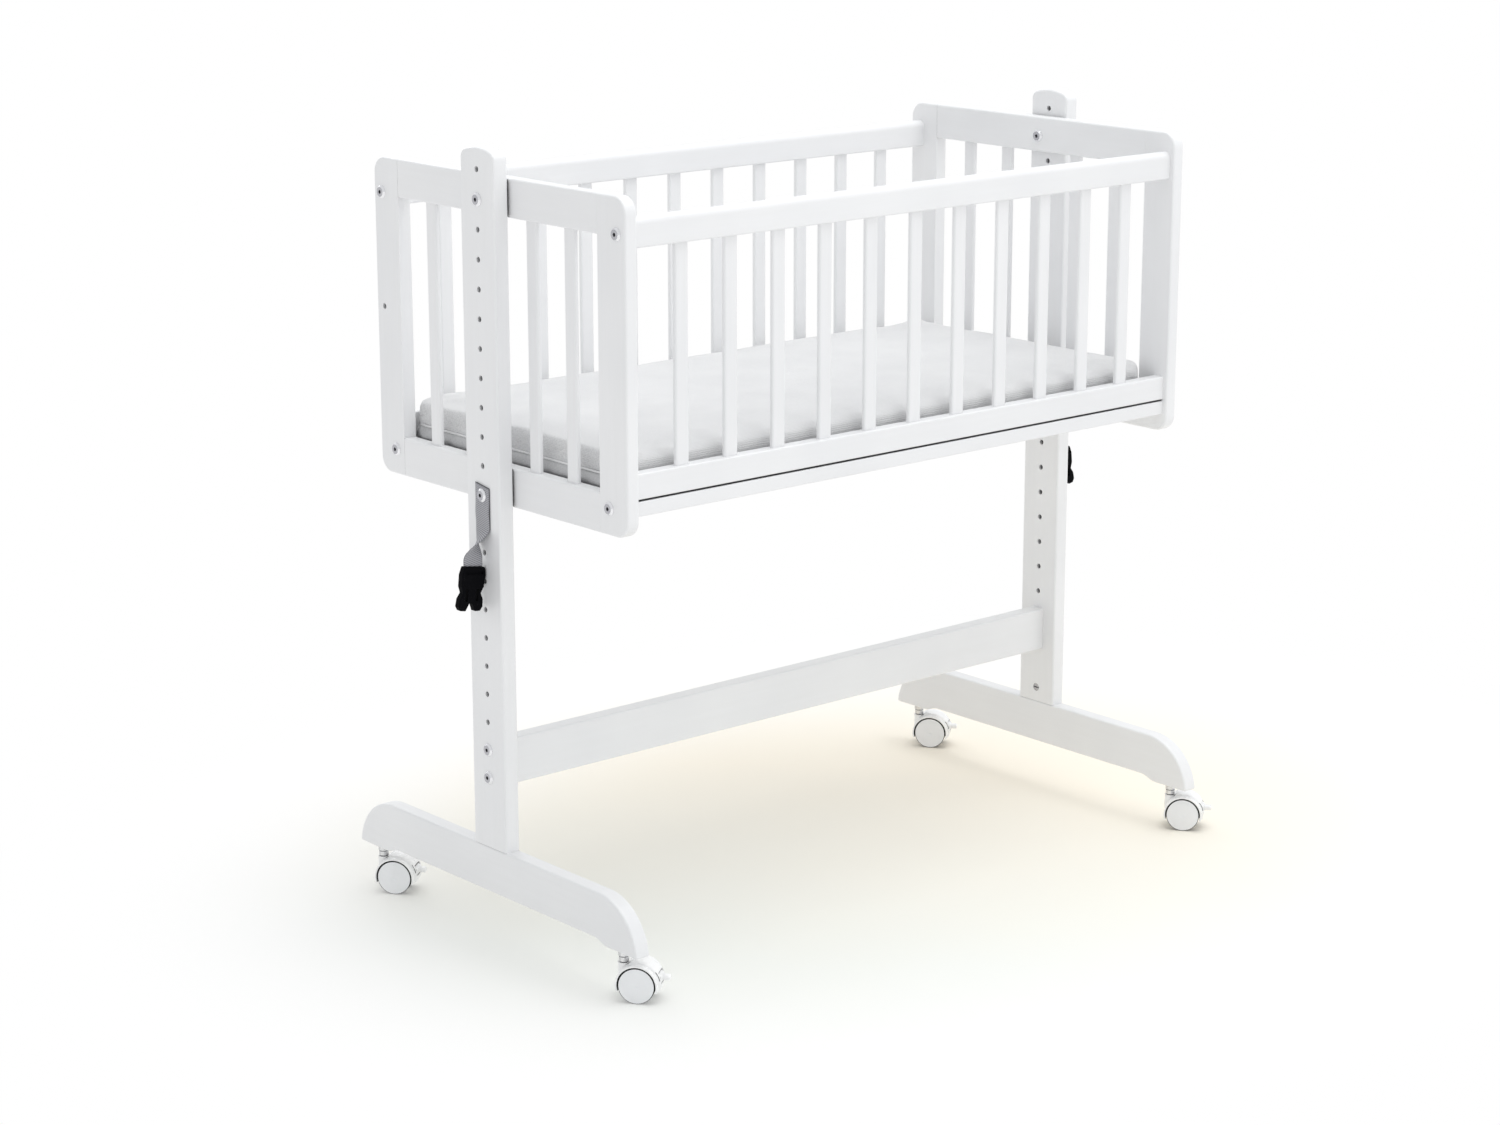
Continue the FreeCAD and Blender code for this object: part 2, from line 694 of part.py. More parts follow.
def make_buckle(label, end):
    """The male half of a side-release buckle: grooved body and two sprung prongs."""
    lean = FreeCAD.Rotation(V(0, 1, 0), size("buckle_lean"))
    body = piece(label, None, None, None, half_turn(end).multiply(lean))
    body.setExpression("Placement.Base.x", signed(end, BUCKLE_CENTRE))
    body.setExpression("Placement.Base.z", "dims.strap_bottom + 1.8")
    half = [
        ("13.4", "0"), ("15.6", "-9"), ("14.9", "-22"), ("11.8", "-29"),
        ("15.4", "-35.5"), ("16", "-44"), ("13", "-48.5"), ("6.2", "-48.8"),
        ("2.2", "-40.5"),
    ]
    corners = half + [("-" + x, z) for x, z in reversed(half)]
    sketch = sketch_on(body, "XZ_Plane")
    outline(sketch, corners)
    pad(body, sketch, "dims.buckle_thickness", symmetric=True)
    round_edges(body, "1.4", lambda e: runs_along(e, "y") and abs(e.BoundBox.XMax) > 5)
    side = size("buckle_thickness") / 2
    round_edges(body, "1.1", lambda e: in_plane(e, "Y", side) or in_plane(e, "Y", -side))
    band = sketch_on(body, "XZ_Plane", offset="dims.buckle_thickness / 2")
    rounded_bar(band, "0", "-6.4", "24", "3.4", "1", "1")
    groove = pocket(body, band, "1.2")
    mirror(body, "XZ_Plane", [groove])
    legs = sketch_on(body, "XZ_Plane")
    outline(legs, [("5.2", "-38"), ("8.4", "-38"), ("9.4", "-24"), ("5.6", "-24")])
    leg = pocket(body, legs, "dims.buckle_thickness * 2", symmetric=True)
    mirror(body, "YZ_Plane", [leg])


# ---------------------------------------------------------------- bassinet: end frames


def make_stile(label, end, side):
    """Upright of an end frame; its outer corners are rounded, its inner edge meets the rails."""
    centre = "(dims.end_half_width - dims.stile_width / 2)"
    body = piece(label, signed(end, END_CENTRE), signed(side, centre), "dims.end_bottom")
    inner, outer = signed(-side, "dims.stile_width / 2"), signed(side, "dims.stile_width / 2")
    radius = "dims.end_corner_radius"
    start = signed(side, "(dims.stile_width / 2 - %s)" % radius)
    corners = [
        (inner, "0"),
        (start, "0"),
        (outer, radius),
        (outer, "dims.end_height - " + radius),
        (start, "dims.end_height"),
        (inner, "dims.end_height"),
    ]
    anticlockwise = side > 0
    sketch = sketch_on(body, "YZ_Plane")
    outline(sketch, corners, {1: (radius, anticlockwise), 3: (radius, anticlockwise)})
    pad(body, sketch, "dims.end_thickness", symmetric=True)
    face = size("end_thickness") / 2
    joint = -side * size("stile_width") / 2
    round_edges(body, "dims.edge_rounding",
                lambda e: (in_plane(e, "X", face) or in_plane(e, "X", -face))
                and not in_plane(e, "Y", joint))
    holes = sketch_on(body, "YZ_Plane")
    for out, height in (("dims.upper_bolt_out", "dims.upper_bolt_height"),
                        ("dims.lower_bolt_out", "dims.lower_bolt_height")):
        circle(holes, signed(side, "(%s - %s)" % (out, centre)),
               "%s - dims.end_bottom" % height, "dims.hole_size")
    if side > 0:
        circle(holes, "dims.upper_bolt_out - " + centre,
               "dims.spare_hole_height - dims.end_bottom", "dims.hole_size")
    pocket(body, holes, "dims.end_thickness * 2", symmetric=True)


def cut_end_mortises(body, height, backwards):
    """Mortises for the four end slats, cut into a rail from the given height."""
    sketch = sketch_on(body, "XY_Plane", offset=height)
    for place in ("dims.end_slat_near", "dims.end_slat_far"):
        rounded_bar(sketch, "0", place, "(dims.slat_thickness + dims.tenon_play)",
                    "(dims.slat_width + dims.tenon_play)", "dims.slat_rounding", "dims.slat_rounding")
    cut = pocket(body, sketch, "dims.tenon_depth", backwards=backwards)
    mirror(body, "XZ_Plane", [cut])


def make_end_rail(label, end, top):
    """Rail of an end frame between its stiles; the top one carries the pivot bolt."""
    height = "dims.end_top_rail_height" if top else "dims.end_bottom_rail_height"
    bottom = "dims.end_bottom"
    if top:
        bottom = "dims.end_bottom + dims.end_height - dims.end_top_rail_height"
    body = piece(label, signed(end, END_CENTRE), None, bottom)
    sketch = sketch_on(body, "XZ_Plane")
    rounded_bar(sketch, "0", "(%s / 2)" % height, "dims.end_thickness", height,
                "dims.edge_rounding", "dims.edge_rounding")
    pad(body, sketch, "2 * (dims.end_half_width - dims.stile_width)", symmetric=True)
    joint = size("end_half_width") - size("stile_width")
    bevel_edges(body, "dims.joint_bevel", lambda e: in_plane(e, "Y", joint) or in_plane(e, "Y", -joint))
    if top:
        cut_end_mortises(body, "0 * dims.end_height", True)
        pivot = sketch_on(body, "YZ_Plane")
        circle(pivot, "0", "dims.pivot_height - (%s)" % bottom, "dims.pivot_bore")
        pocket(body, pivot, "dims.end_thickness * 2", symmetric=True)
        sleeve = sketch_on(body, "YZ_Plane", offset=signed(-end, "dims.end_thickness / 2"))
        circle(sleeve, "0", "dims.pivot_height - (%s)" % bottom, "dims.sleeve_bore")
        pocket(body, sleeve, "dims.sleeve_length + 0.4", backwards=end > 0)
    else:
        cut_end_mortises(body, height, False)


def make_end_slats(label, end):
    """The four thin slats of an end frame, let into its rails; the middle is left open."""
    start = "dims.end_bottom_rail_height - dims.tenon_depth + 0.5"
    body = piece(label, signed(end, END_CENTRE), None, "dims.end_bottom + " + start)
    sketch = sketch_on(body, "XY_Plane")
    for place in ("dims.end_slat_near", "dims.end_slat_far"):
        rounded_bar(sketch, "0", place, "dims.slat_thickness", "dims.slat_width",
                    "dims.slat_rounding", "dims.slat_rounding")
    clear = "dims.end_height - dims.end_top_rail_height - dims.end_bottom_rail_height"
    pad(body, sketch, clear + " + 2 * dims.tenon_depth - 1")
    mirror(body, "XZ_Plane")


# ---------------------------------------------------------------- bassinet: side panels


def make_side_rail(label, side, top):
    """Long rail of a side panel; the top one has a full round upper edge and end bolts."""
    bottom = "dims.side_top_rail_bottom" if top else "dims.side_bottom_rail_bottom"
    height = "dims.side_top_rail_height" if top else "dims.side_bottom_rail_height"
    upper = "dims.side_top_rounding" if top else "2"
    body = piece(label, None, signed(side, "dims.side_centre"), bottom)
    sketch = sketch_on(body, "YZ_Plane")
    rounded_bar(sketch, "0", "(%s / 2)" % height, "dims.side_thickness", height, "2", upper)
    pad(body, sketch, "dims.inner_length", symmetric=True)
    mortise = sketch_on(body, "XY_Plane", offset="0 * dims.end_height" if top else height)
    first = "-dims.side_slat_pitch * (dims.side_slat_count - 1) / 2"
    rounded_bar(mortise, "(%s)" % first, "0", "(dims.slat_width + dims.tenon_play)",
                "(dims.slat_thickness + dims.tenon_play)", "dims.slat_rounding", "dims.slat_rounding")
    cut = pocket(body, mortise, "dims.tenon_depth", backwards=top)
    repeat(body, [cut], "X_Axis", "dims.side_slat_count", "dims.side_slat_pitch")
    if top:
        level = "dims.upper_bolt_height - dims.side_top_rail_bottom"
        shift = signed(side, "(dims.upper_bolt_out - dims.side_centre)")
        bore = sketch_on(body, "YZ_Plane", offset=END_FACE)
        circle(bore, shift, level, "dims.hole_size")
        one = pocket(body, bore, "dims.frame_nut_inset + 10")
        well = sketch_on(body, "XY_Plane")
        circle(well, "%s - dims.frame_nut_inset" % END_FACE, shift, "dims.nut_size + 0.1")
        two = pocket(body, well, level + " + dims.nut_length / 2 + 0.2", backwards=True)
        mirror(body, "YZ_Plane", [one, two])


def make_side_slats(label, side):
    """The eleven thin slats of a side panel, let into its rails."""
    low = "dims.side_bottom_rail_bottom + dims.side_bottom_rail_height - dims.tenon_depth + 0.5"
    body = piece(label, None, signed(side, "dims.side_centre"), low)
    sketch = sketch_on(body, "XY_Plane")
    first = "-dims.side_slat_pitch * (dims.side_slat_count - 1) / 2"
    rounded_bar(sketch, "(%s)" % first, "0", "dims.slat_width", "dims.slat_thickness",
                "dims.slat_rounding", "dims.slat_rounding")
    length = ("dims.side_top_rail_bottom + dims.tenon_depth - 0.5"
              " - (dims.side_bottom_rail_bottom + dims.side_bottom_rail_height"
              " - dims.tenon_depth + 0.5)")
    slat = pad(body, sketch, length)
    repeat(body, [slat], "X_Axis", "dims.side_slat_count", "dims.side_slat_pitch")


# ---------------------------------------------------------------- bassinet: base and mattress


def make_base_board():
    """Board the mattress lies on, bolted between the end frames."""
    body = piece("base_board", None, None, "dims.base_bottom")
    sketch = sketch_on(body, "YZ_Plane")
    rounded_bar(sketch, "0", "dims.base_thickness / 2", "2 * dims.base_half_width",
                "dims.base_thickness", "1.5", "1.5")
    pad(body, sketch, "dims.inner_length", symmetric=True)
    level = "dims.lower_bolt_height - dims.base_bottom"
    bore = sketch_on(body, "YZ_Plane", offset=END_FACE)
    circle(bore, "dims.lower_bolt_out", level, "dims.hole_size")
    circle(bore, "-dims.lower_bolt_out", level, "dims.hole_size")
    one = pocket(body, bore, "dims.frame_nut_inset + 10")
    well = sketch_on(body, "XY_Plane")
    for place in ("dims.lower_bolt_out", "-dims.lower_bolt_out"):
        circle(well, "%s - dims.frame_nut_inset" % END_FACE, place, "dims.nut_size + 0.1")
    two = pocket(body, well, "13", backwards=True)
    mirror(body, "YZ_Plane", [one, two])


def make_mattress():
    """Flat foam pad with rounded corners and softened edges."""
    body = piece("mattress", None, None, "dims.mattress_bottom")
    sketch = sketch_on(body, "XY_Plane")
    rounded_bar(sketch, "0", "0", "dims.mattress_length", "dims.mattress_width",
                "dims.mattress_corner", "dims.mattress_corner")
    pad(body, sketch, "dims.mattress_height")
    top = size("mattress_height")
    round_edges(body, "dims.mattress_rounding",
                lambda e: in_plane(e, "Z", top) or in_plane(e, "Z", 0))


# ---------------------------------------------------------------- casters

# In a caster's own frame the stem is at the origin, the wheels trail along +X, the axle runs
# along Y and the floor is at z = 0.
HUB_X, HUB_Z = "dims.caster_trail", "dims.wheel_radius"
LEVER_X, LEVER_Z = "dims.lever_pivot_x", "dims.lever_pivot_z"


def make_caster_stems():
    """Stems fixed in the feet: pin, flange with a groove, and the spigot the hood turns on."""
    body = piece("caster_stems")
    sketch = sketch_on(body, "XZ_Plane", x=UPRIGHT_CENTRE, offset="dims.caster_out")
    spigot, bottom = "dims.stem_size / 2", "dims.foot_bottom"
    corners = [
        ("0", "24"), (spigot, "24"), (spigot, "42.2"), ("5.6", "42.2"), ("5.6", "47"),
        ("5", "47.4"), ("5", "48.2"), ("6.3", "48.6"), ("6.3", bottom), ("4", bottom),
        ("4", "86"), ("3.2", "87"), ("0", "87"),
    ]
    outline(sketch, corners)
    revolve(body, sketch, "V_Axis")
    mirror(body, "XZ_Plane")
    mirror(body, "YZ_Plane")


def caster_piece(label, end, side):
    body = piece(label, signed(end, UPRIGHT_CENTRE), signed(side, "dims.caster_out"), None,
                 turn(size("caster_angle")))
    return body


def add_hood_body(body):
    """The rounded block between the rims, from the stem boss back to the brake lever."""
    top, back, cut = "dims.body_top", "dims.body_back", "dims.hood_cut"
    corners = [
        ("8", cut),
        (back + " - 2.2", cut),
        (back, "24"),
        (back + " - 2", "30"),
        (HUB_X + " + 5", top),
        ("8", top),
    ]
    sketch = sketch_on(body, "XZ_Plane")
    outline(sketch, corners, {3: ("dims.body_bend", True)})
    pad(body, sketch, "2 * dims.body_half_width", symmetric=True)
    round_edges(body, "2", lambda e: runs_along(e, "y")
                and (e.BoundBox.XMin > size("body_back") - 0.1
                     or e.BoundBox.XMax < 8.1 and e.BoundBox.ZMin > size("body_top") - 0.1))
    half, low = size("body_half_width"), size("hood_cut") + 0.01
    round_edges(body, "dims.body_rounding",
                lambda e: (in_plane(e, "Y", half) or in_plane(e, "Y", -half)) and e.BoundBox.ZMax > low
                and e.BoundBox.XMax > 8.01)


def add_hood_rims(body):
    """The rims that reach over both wheels, in one piece across the hood."""
    reach = "sqrt(dims.hood_radius^2 - (dims.wheel_radius - dims.hood_cut)^2)"
    sketch = sketch_on(body, "XZ_Plane")
    left, right = "%s - %s" % (HUB_X, reach), "%s + %s" % (HUB_X, reach)
    crest = "%s + dims.hood_radius" % HUB_Z
    corners = [(left, "dims.hood_cut"), (right, "dims.hood_cut"), (HUB_X, crest)]
    outline(sketch, corners, {1: ("dims.hood_radius", True), 2: ("dims.hood_radius", True)})
    pad(body, sketch, "2 * dims.hood_half_width", symmetric=True)
    face = size("hood_half_width")
    round_edges(body, "0.8", lambda e: (in_plane(e, "Y", face) or in_plane(e, "Y", -face))
                and e.BoundBox.ZMax > size("hood_cut") + 0.5)


def make_hood(label, end, side):
    """Moulded hood: rims over the two wheels, the web between them, the stem boss and the
    block behind that holds the brake lever."""
    body = caster_piece(label, end, side)
    add_hood_body(body)
    add_hood_rims(body)
    boss = sketch_on(body, "XY_Plane", offset="24")
    circle(boss, "0", "0", "dims.boss_size")
    pad(body, boss, "dims.boss_top - 24")
    wheel_room = sketch_on(body, "XZ_Plane", offset="dims.hood_web")
    circle(wheel_room, HUB_X, HUB_Z, "2 * dims.hood_bore")
    room = pocket(body, wheel_room, "30", backwards=True)
    mirror(body, "XZ_Plane", [room])
    axle = sketch_on(body, "XZ_Plane")
    circle(axle, HUB_X, HUB_Z, "dims.axle_bore")
    pocket(body, axle, "2 * dims.hood_web + 2", symmetric=True)
    stem = sketch_on(body, "XY_Plane", offset="dims.boss_top")
    circle(stem, "0", "0", "dims.stem_bore")
    pocket(body, stem, "dims.boss_top - 23.4")
    notch = sketch_on(body, "XZ_Plane")
    rectangle(notch, "36.6", "60", "21.2", "33.6")
    pocket(body, notch, "2 * (dims.lever_half_width + 0.6)", symmetric=True)
    sockets = sketch_on(body, "XZ_Plane")
    circle(sockets, LEVER_X, LEVER_Z, "dims.lever_pin_bore")
    pocket(body, sockets, "2 * (dims.lever_half_width + 2)", symmetric=True)
    add_hood_slits(body)


def add_hood_slits(body):
    """The curved parting gap in front of the lever, on both sides of the block."""
    corners = []
    for radius, angle in ((24.5, 12), (25.3, 12), (25.3, 37), (24.5, 37)):
        corners.append(("%s + %s * cos(%d)" % (HUB_X, radius, angle),
                        "%s + %s * sin(%d)" % (HUB_Z, radius, angle)))
    sketch = sketch_on(body, "XZ_Plane", offset="dims.body_half_width")
    outline(sketch, corners, {1: ("25.3", True), 3: ("24.5", False)})
    slit = pocket(body, sketch, "3.2")
    mirror(body, "XZ_Plane", [slit])


def make_wheels(label, end, side):
    """A pair of wheels: narrow rounded edges, slightly domed faces, blind bores."""
    body = caster_piece(label, end, side)
    inner, outer, rim = "dims.wheel_inner", "dims.wheel_outer", "dims.wheel_radius"
    bore, end_of_bore = "dims.axle_bore / 2", "dims.axle_half + 0.3"
    corners = [
        (bore, inner),
        (rim + " - 1", inner),
        (rim, inner + " + 1"),
        (rim, outer + " - 1.3"),
        (rim + " - 0.8", outer + " - 0.5"),
        ("0", outer),
        ("0", end_of_bore),
        (bore, end_of_bore),
    ]
    dome = "((dims.wheel_radius - 0.8)^2 + 0.25)"
    sketch = sketch_on(body, "XY_Plane", x=HUB_X, offset=HUB_Z)
    outline(sketch, corners, {1: ("1", True), 3: ("0.8", True), 4: (dome, True)})
    revolve(body, sketch, "V_Axis")
    mirror(body, "XZ_Plane")


def make_axle(label, end, side):
    body = caster_piece(label, end, side)
    sketch = sketch_on(body, "XZ_Plane")
    circle(sketch, HUB_X, HUB_Z, "dims.axle_size")
    pad(body, sketch, "2 * dims.axle_half", symmetric=True)


def make_brake_lever(label, end, side):
    """Rocker across the hood's notch with a narrow rounded tab, on two short pins."""
    body = caster_piece(label, end, side)
    root = sketch_on(body, "XZ_Plane")
    outline(root, [("38.2", "23.4"), ("43.2", "22.8"), ("42.6", "29.4"), ("37.6", "32.2")])
    pad(body, root, "2 * dims.lever_half_width", symmetric=True)
    round_edges(body, "1", lambda e: runs_along(e, "y"))
    half = size("lever_half_width")
    round_edges(body, "0.7", lambda e: in_plane(e, "Y", half) or in_plane(e, "Y", -half))
    tab = sketch_on(body, "YZ_Plane", offset="41")
    rounded_bar(tab, "0", "26.6", "dims.lever_tab_width", "6", "2.6", "2.6")
    pad(body, tab, "dims.lever_reach - 41")
    tip = size("lever_reach")
    round_edges(body, "1.6", lambda e: in_plane(e, "X", tip))
    pins = sketch_on(body, "XZ_Plane")
    circle(pins, LEVER_X, LEVER_Z, "dims.lever_pin")
    pad(body, pins, "2 * (dims.lever_half_width + 1.7)", symmetric=True)


# ---------------------------------------------------------------- assembly

LEFT, RIGHT = -1, 1
FRONT, BACK = -1, 1

for end_name, end in (("left", LEFT), ("right", RIGHT)):
    make_upright("upright_" + end_name, end)
    make_foot("foot_" + end_name, end)
    make_strap("strap_" + end_name, end)
    make_buckle("buckle_" + end_name, end)
make_cross_rail()
make_cross_rail_bolts()
make_rail_nuts()
make_foot_bolts()
make_foot_nuts()
make_strap_bolts()
make_pivot_bolts()
make_pivot_spacers()
make_pivot_nuts()

for end_name, end in (("left", LEFT), ("right", RIGHT)):
    make_stile("end_stile_%s_front" % end_name, end, FRONT)
    make_stile("end_stile_%s_back" % end_name, end, BACK)
    make_end_rail("end_top_rail_" + end_name, end, True)
    make_end_rail("end_bottom_rail_" + end_name, end, False)
    make_end_slats("end_slats_" + end_name, end)
for side_name, side in (("front", FRONT), ("back", BACK)):
    make_side_rail("side_top_rail_" + side_name, side, True)
    make_side_rail("side_bottom_rail_" + side_name, side, False)
    make_side_slats("side_slats_" + side_name, side)
make_base_board()
make_mattress()
make_frame_bolts("upper_frame_bolts", "dims.upper_bolt_out", "dims.upper_bolt_height")
make_frame_bolts("lower_frame_bolts", "dims.lower_bolt_out", "dims.lower_bolt_height")
make_frame_nuts("upper_barrel_nuts", "dims.upper_bolt_out", "dims.upper_bolt_height",
                "dims.nut_length / 2")
make_frame_nuts("lower_barrel_nuts", "dims.lower_bolt_out", "dims.lower_bolt_height",
                "4.8")

make_caster_stems()
for end_name, end in (("left", LEFT), ("right", RIGHT)):
    for side_name, side in (("front", FRONT), ("back", BACK)):
        corner_name = "%s_%s" % (end_name, side_name)
        make_hood("caster_hood_" + corner_name, end, side)
        make_wheels("caster_wheels_" + corner_name, end, side)
        make_axle("caster_axle_" + corner_name, end, side)
        make_brake_lever("brake_lever_" + corner_name, end, side)

doc.recompute()

# ---------------------------------------------------------------- checks and export

for thing in doc.Objects:
    if "Invalid" in thing.State or "Error" in thing.State:
        raise RuntimeError("%s of %s has failed" % (thing.Name, thing.getParentGeoFeatureGroup().Label))
for body in pieces:
    if body.Shape.isNull() or not body.Shape.isValid() or not body.Shape.Solids:
        raise RuntimeError("the shape of %s is not sound" % body.Label)

os.makedirs("parts", exist_ok=True)
for body in pieces:
    body.Shape.exportStep("parts/%s.step" % body.Label)
    print("%-28s %2d solids %10.1f mm3" % (body.Label, len(body.Shape.Solids), body.Shape.Volume))
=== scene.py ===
import json
import math

import bmesh
import bpy
from mathutils import Matrix, Vector, noise
from mathutils.bvhtree import BVHTree


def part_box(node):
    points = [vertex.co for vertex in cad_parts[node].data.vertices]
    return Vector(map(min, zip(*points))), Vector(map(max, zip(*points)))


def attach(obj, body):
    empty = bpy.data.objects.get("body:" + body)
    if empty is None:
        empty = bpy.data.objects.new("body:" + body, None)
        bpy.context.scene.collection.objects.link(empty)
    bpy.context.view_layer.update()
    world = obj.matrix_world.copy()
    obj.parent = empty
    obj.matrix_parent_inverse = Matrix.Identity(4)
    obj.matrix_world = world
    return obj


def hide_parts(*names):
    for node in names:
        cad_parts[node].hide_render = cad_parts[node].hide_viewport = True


# Rocking bedside cradle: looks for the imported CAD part. Metres, +X along the cradle,
# -Y its front, +Z up.

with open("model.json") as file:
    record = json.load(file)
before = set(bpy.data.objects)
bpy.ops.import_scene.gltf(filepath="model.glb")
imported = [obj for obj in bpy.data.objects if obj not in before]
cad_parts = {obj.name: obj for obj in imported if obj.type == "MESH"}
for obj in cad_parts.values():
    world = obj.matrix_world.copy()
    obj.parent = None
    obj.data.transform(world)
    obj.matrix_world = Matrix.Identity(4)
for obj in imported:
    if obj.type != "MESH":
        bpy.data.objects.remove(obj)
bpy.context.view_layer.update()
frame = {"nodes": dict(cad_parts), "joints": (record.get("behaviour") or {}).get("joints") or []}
NODES = frame["nodes"]


# ---------------------------------------------------------------- node helpers


class Nodes:
    """A shader network built node by node; sockets, numbers and colours are fed alike."""

    def __init__(self, tree):
        self.tree = tree

    def feed(self, socket, value):
        if isinstance(value, bpy.types.NodeSocket):
            self.tree.links.new(value, socket)
        elif isinstance(value, tuple) and len(value) == 3 and socket.type == "RGBA":
            socket.default_value = (*value, 1)
        else:
            socket.default_value = value

    def node(self, kind, settings=None, inputs=None):
        made = self.tree.nodes.new("ShaderNode" + kind)
        for key, value in (settings or {}).items():
            setattr(made, key, value)
        for key, value in (inputs or {}).items():
            self.feed(made.inputs[key], value)
        return made

    def coords(self, kind="Object"):
        return self.node("TexCoord").outputs[kind]

    def stretch(self, vector, scale):
        return self.node("Mapping", None, {"Vector": vector, "Scale": scale}).outputs["Vector"]

    def noise(self, vector, scale, detail=3.0, roughness=0.5):
        inputs = {"Vector": vector, "Scale": scale, "Detail": detail, "Roughness": roughness}
        return self.node("TexNoise", None, inputs).outputs["Fac"]

    def cells(self, vector, scale):
        return self.node("TexVoronoi", None, {"Vector": vector, "Scale": scale}).outputs["Distance"]

    def axes(self, vector):
        """The X, Y and Z of a vector."""
        return self.node("SeparateXYZ", None, {"Vector": vector}).outputs[:3]

    def math(self, operation, a, b=0.0):
        return self.node("Math", {"operation": operation}, {0: a, 1: b}).outputs[0]

    def wave(self, value, length):
        """A sine of the value with the given wavelength."""
        return self.math("SINE", self.math("MULTIPLY", value, 2 * math.pi / length))

    def spread(self, value, low, high, to_low, to_high):
        inputs = {"Value": value, "From Min": low, "From Max": high,
                  "To Min": to_low, "To Max": to_high}
        return self.node("MapRange", None, inputs).outputs["Result"]

    def mix(self, factor, a, b):
        made = self.node("Mix", {"data_type": "RGBA"}, {0: factor})
        self.feed(made.inputs[6], a)
        self.feed(made.inputs[7], b)
        return made.outputs[2]

    def facing(self, axis):
        """How far the surface faces along an axis, either way: 0 to 1."""
        normal = self.node("NewGeometry").outputs["Normal"]
        return self.math("ABSOLUTE", self.axes(normal)["XYZ".index(axis)])

    def open_air(self, reach, samples=8, own_only=False):
        """1 where the surface is open, towards 0 where something lies within reach of it."""
        settings = {"samples": samples, "only_local": own_only}
        return self.node("AmbientOcclusion", settings, {"Distance": reach}).outputs["AO"]

    def bump(self, height, distance, strength=1.0, normal=None):
        inputs = {"Height": height, "Distance": distance, "Strength": strength}
        if normal is not None:
            inputs["Normal"] = normal
        return self.node("Bump", None, inputs).outputs["Normal"]


class Look(Nodes):
    """A procedural material on one Principled shader."""

    def __init__(self, name):
        self.material = bpy.data.materials.new(name)
        self.material.use_nodes = True
        super().__init__(self.material.node_tree)
        self.shader = self.tree.nodes["Principled BSDF"]

    def finish(self, **inputs):
        for key, value in inputs.items():
            self.feed(self.shader.inputs[key.replace("_", " ")], value)
        return self.material


# ---------------------------------------------------------------- materials


def lacquer(name, grain):
    """White lacquer sprayed on wood: a trace of the grain along one axis, orange peel,
    slightly uneven gloss, edges a touch lighter than the faces and painted shade in narrow gaps and
    joints."""
    look = Look(name)
    place = look.coords()
    along = {"x": (9, 150, 150), "y": (150, 9, 150), "z": (150, 150, 9)}[grain]
    fibres = look.noise(look.stretch(place, along), 1.0, 4.0, 0.6)
    pores = look.noise(look.stretch(place, tuple(k * 5 for k in along)), 1.0, 2.0, 0.7)
    peel = look.noise(place, 620, 1.0, 0.5)
    clouds = look.noise(place, 7.0, 2.0, 0.5)
    rounded = look.node("Bevel", {"samples": 4}, {"Radius": 0.0018}).outputs["Normal"]
    sharp = look.node("NewGeometry").outputs["Normal"]
    product = look.node("VectorMath", {"operation": "DOT_PRODUCT"}, {0: rounded, 1: sharp})
    edge = look.spread(product.outputs["Value"], 0.86, 0.985, 1.0, 0.0)
    clean, dull = (0.85, 0.852, 0.858), (0.812, 0.816, 0.826)
    # Painted shade: the lacquer goes almost black where other parts lie within 8 mm, in narrow gaps
    # and joints.
    painted_gap_shade = look.spread(look.open_air(0.008), 0.10, 0.40, 0.96, 0.0)
    white = look.mix(look.spread(clouds, 0.3, 0.7, 0.0, 1.0), dull, clean)
    white = look.mix(look.spread(fibres, 0.35, 0.75, 0.0, 0.14), white, (0.74, 0.735, 0.725))
    white = look.mix(look.math("MULTIPLY", edge, 0.35), white, (0.90, 0.895, 0.885))
    white = look.mix(painted_gap_shade, white, (0.05, 0.05, 0.055))
    uneven = look.math("ADD", clouds, look.math("MULTIPLY", fibres, 0.5))
    gloss = look.spread(uneven, 0.5, 1.0, 0.36, 0.46)
    relief = look.bump(fibres, 0.00025, 0.35)
    relief = look.bump(pores, 0.0001, 0.3, relief)
    relief = look.bump(peel, 0.00004, 0.5, relief)
    return look.finish(Base_Color=white, Roughness=gloss, Normal=relief, Coat_Weight=0.25,
                       Coat_Roughness=0.22, IOR=1.48)


def plated_steel(name, tone, flank_highlight, rough):
    """Zinc-plated steel: faces turned along the cradle's X axis darker than the flanks, as painted
    shade and painted highlight, fine turning marks, cloudy plating and painted shade in its hollows."""
    look = Look(name)
    place = look.coords()
    marks = look.noise(look.stretch(place, (900, 2400, 2400)), 1.0, 2.0, 0.6)
    clouds = look.noise(place, 260, 3.0, 0.6)
    # Painted shade: within 4 mm of its own surfaces the steel goes nearly black, in grooves and
    # hollows.
    painted_hollow_shade = look.spread(look.open_air(0.004, 4, True), 0.35, 0.85, 0.9, 0.0)
    # Painted shade and highlight: faces turned along X take the darker colour and the flanks the
    # lighter one, for the look of their reflections.
    metal = look.mix(look.spread(look.facing("X"), 0.93, 0.985, 0.0, 1.0), flank_highlight, tone)
    metal = look.mix(look.spread(clouds, 0.3, 0.7, 0.0, 0.2), metal, (0.9, 0.9, 0.9))
    metal = look.mix(painted_hollow_shade, metal, (0.04, 0.04, 0.05))
    gloss = look.spread(clouds, 0.3, 0.7, rough - 0.05, rough + 0.08)
    return look.finish(Base_Color=metal, Metallic=0.92, Roughness=gloss,
                       Normal=look.bump(marks, 0.00004, 0.6))


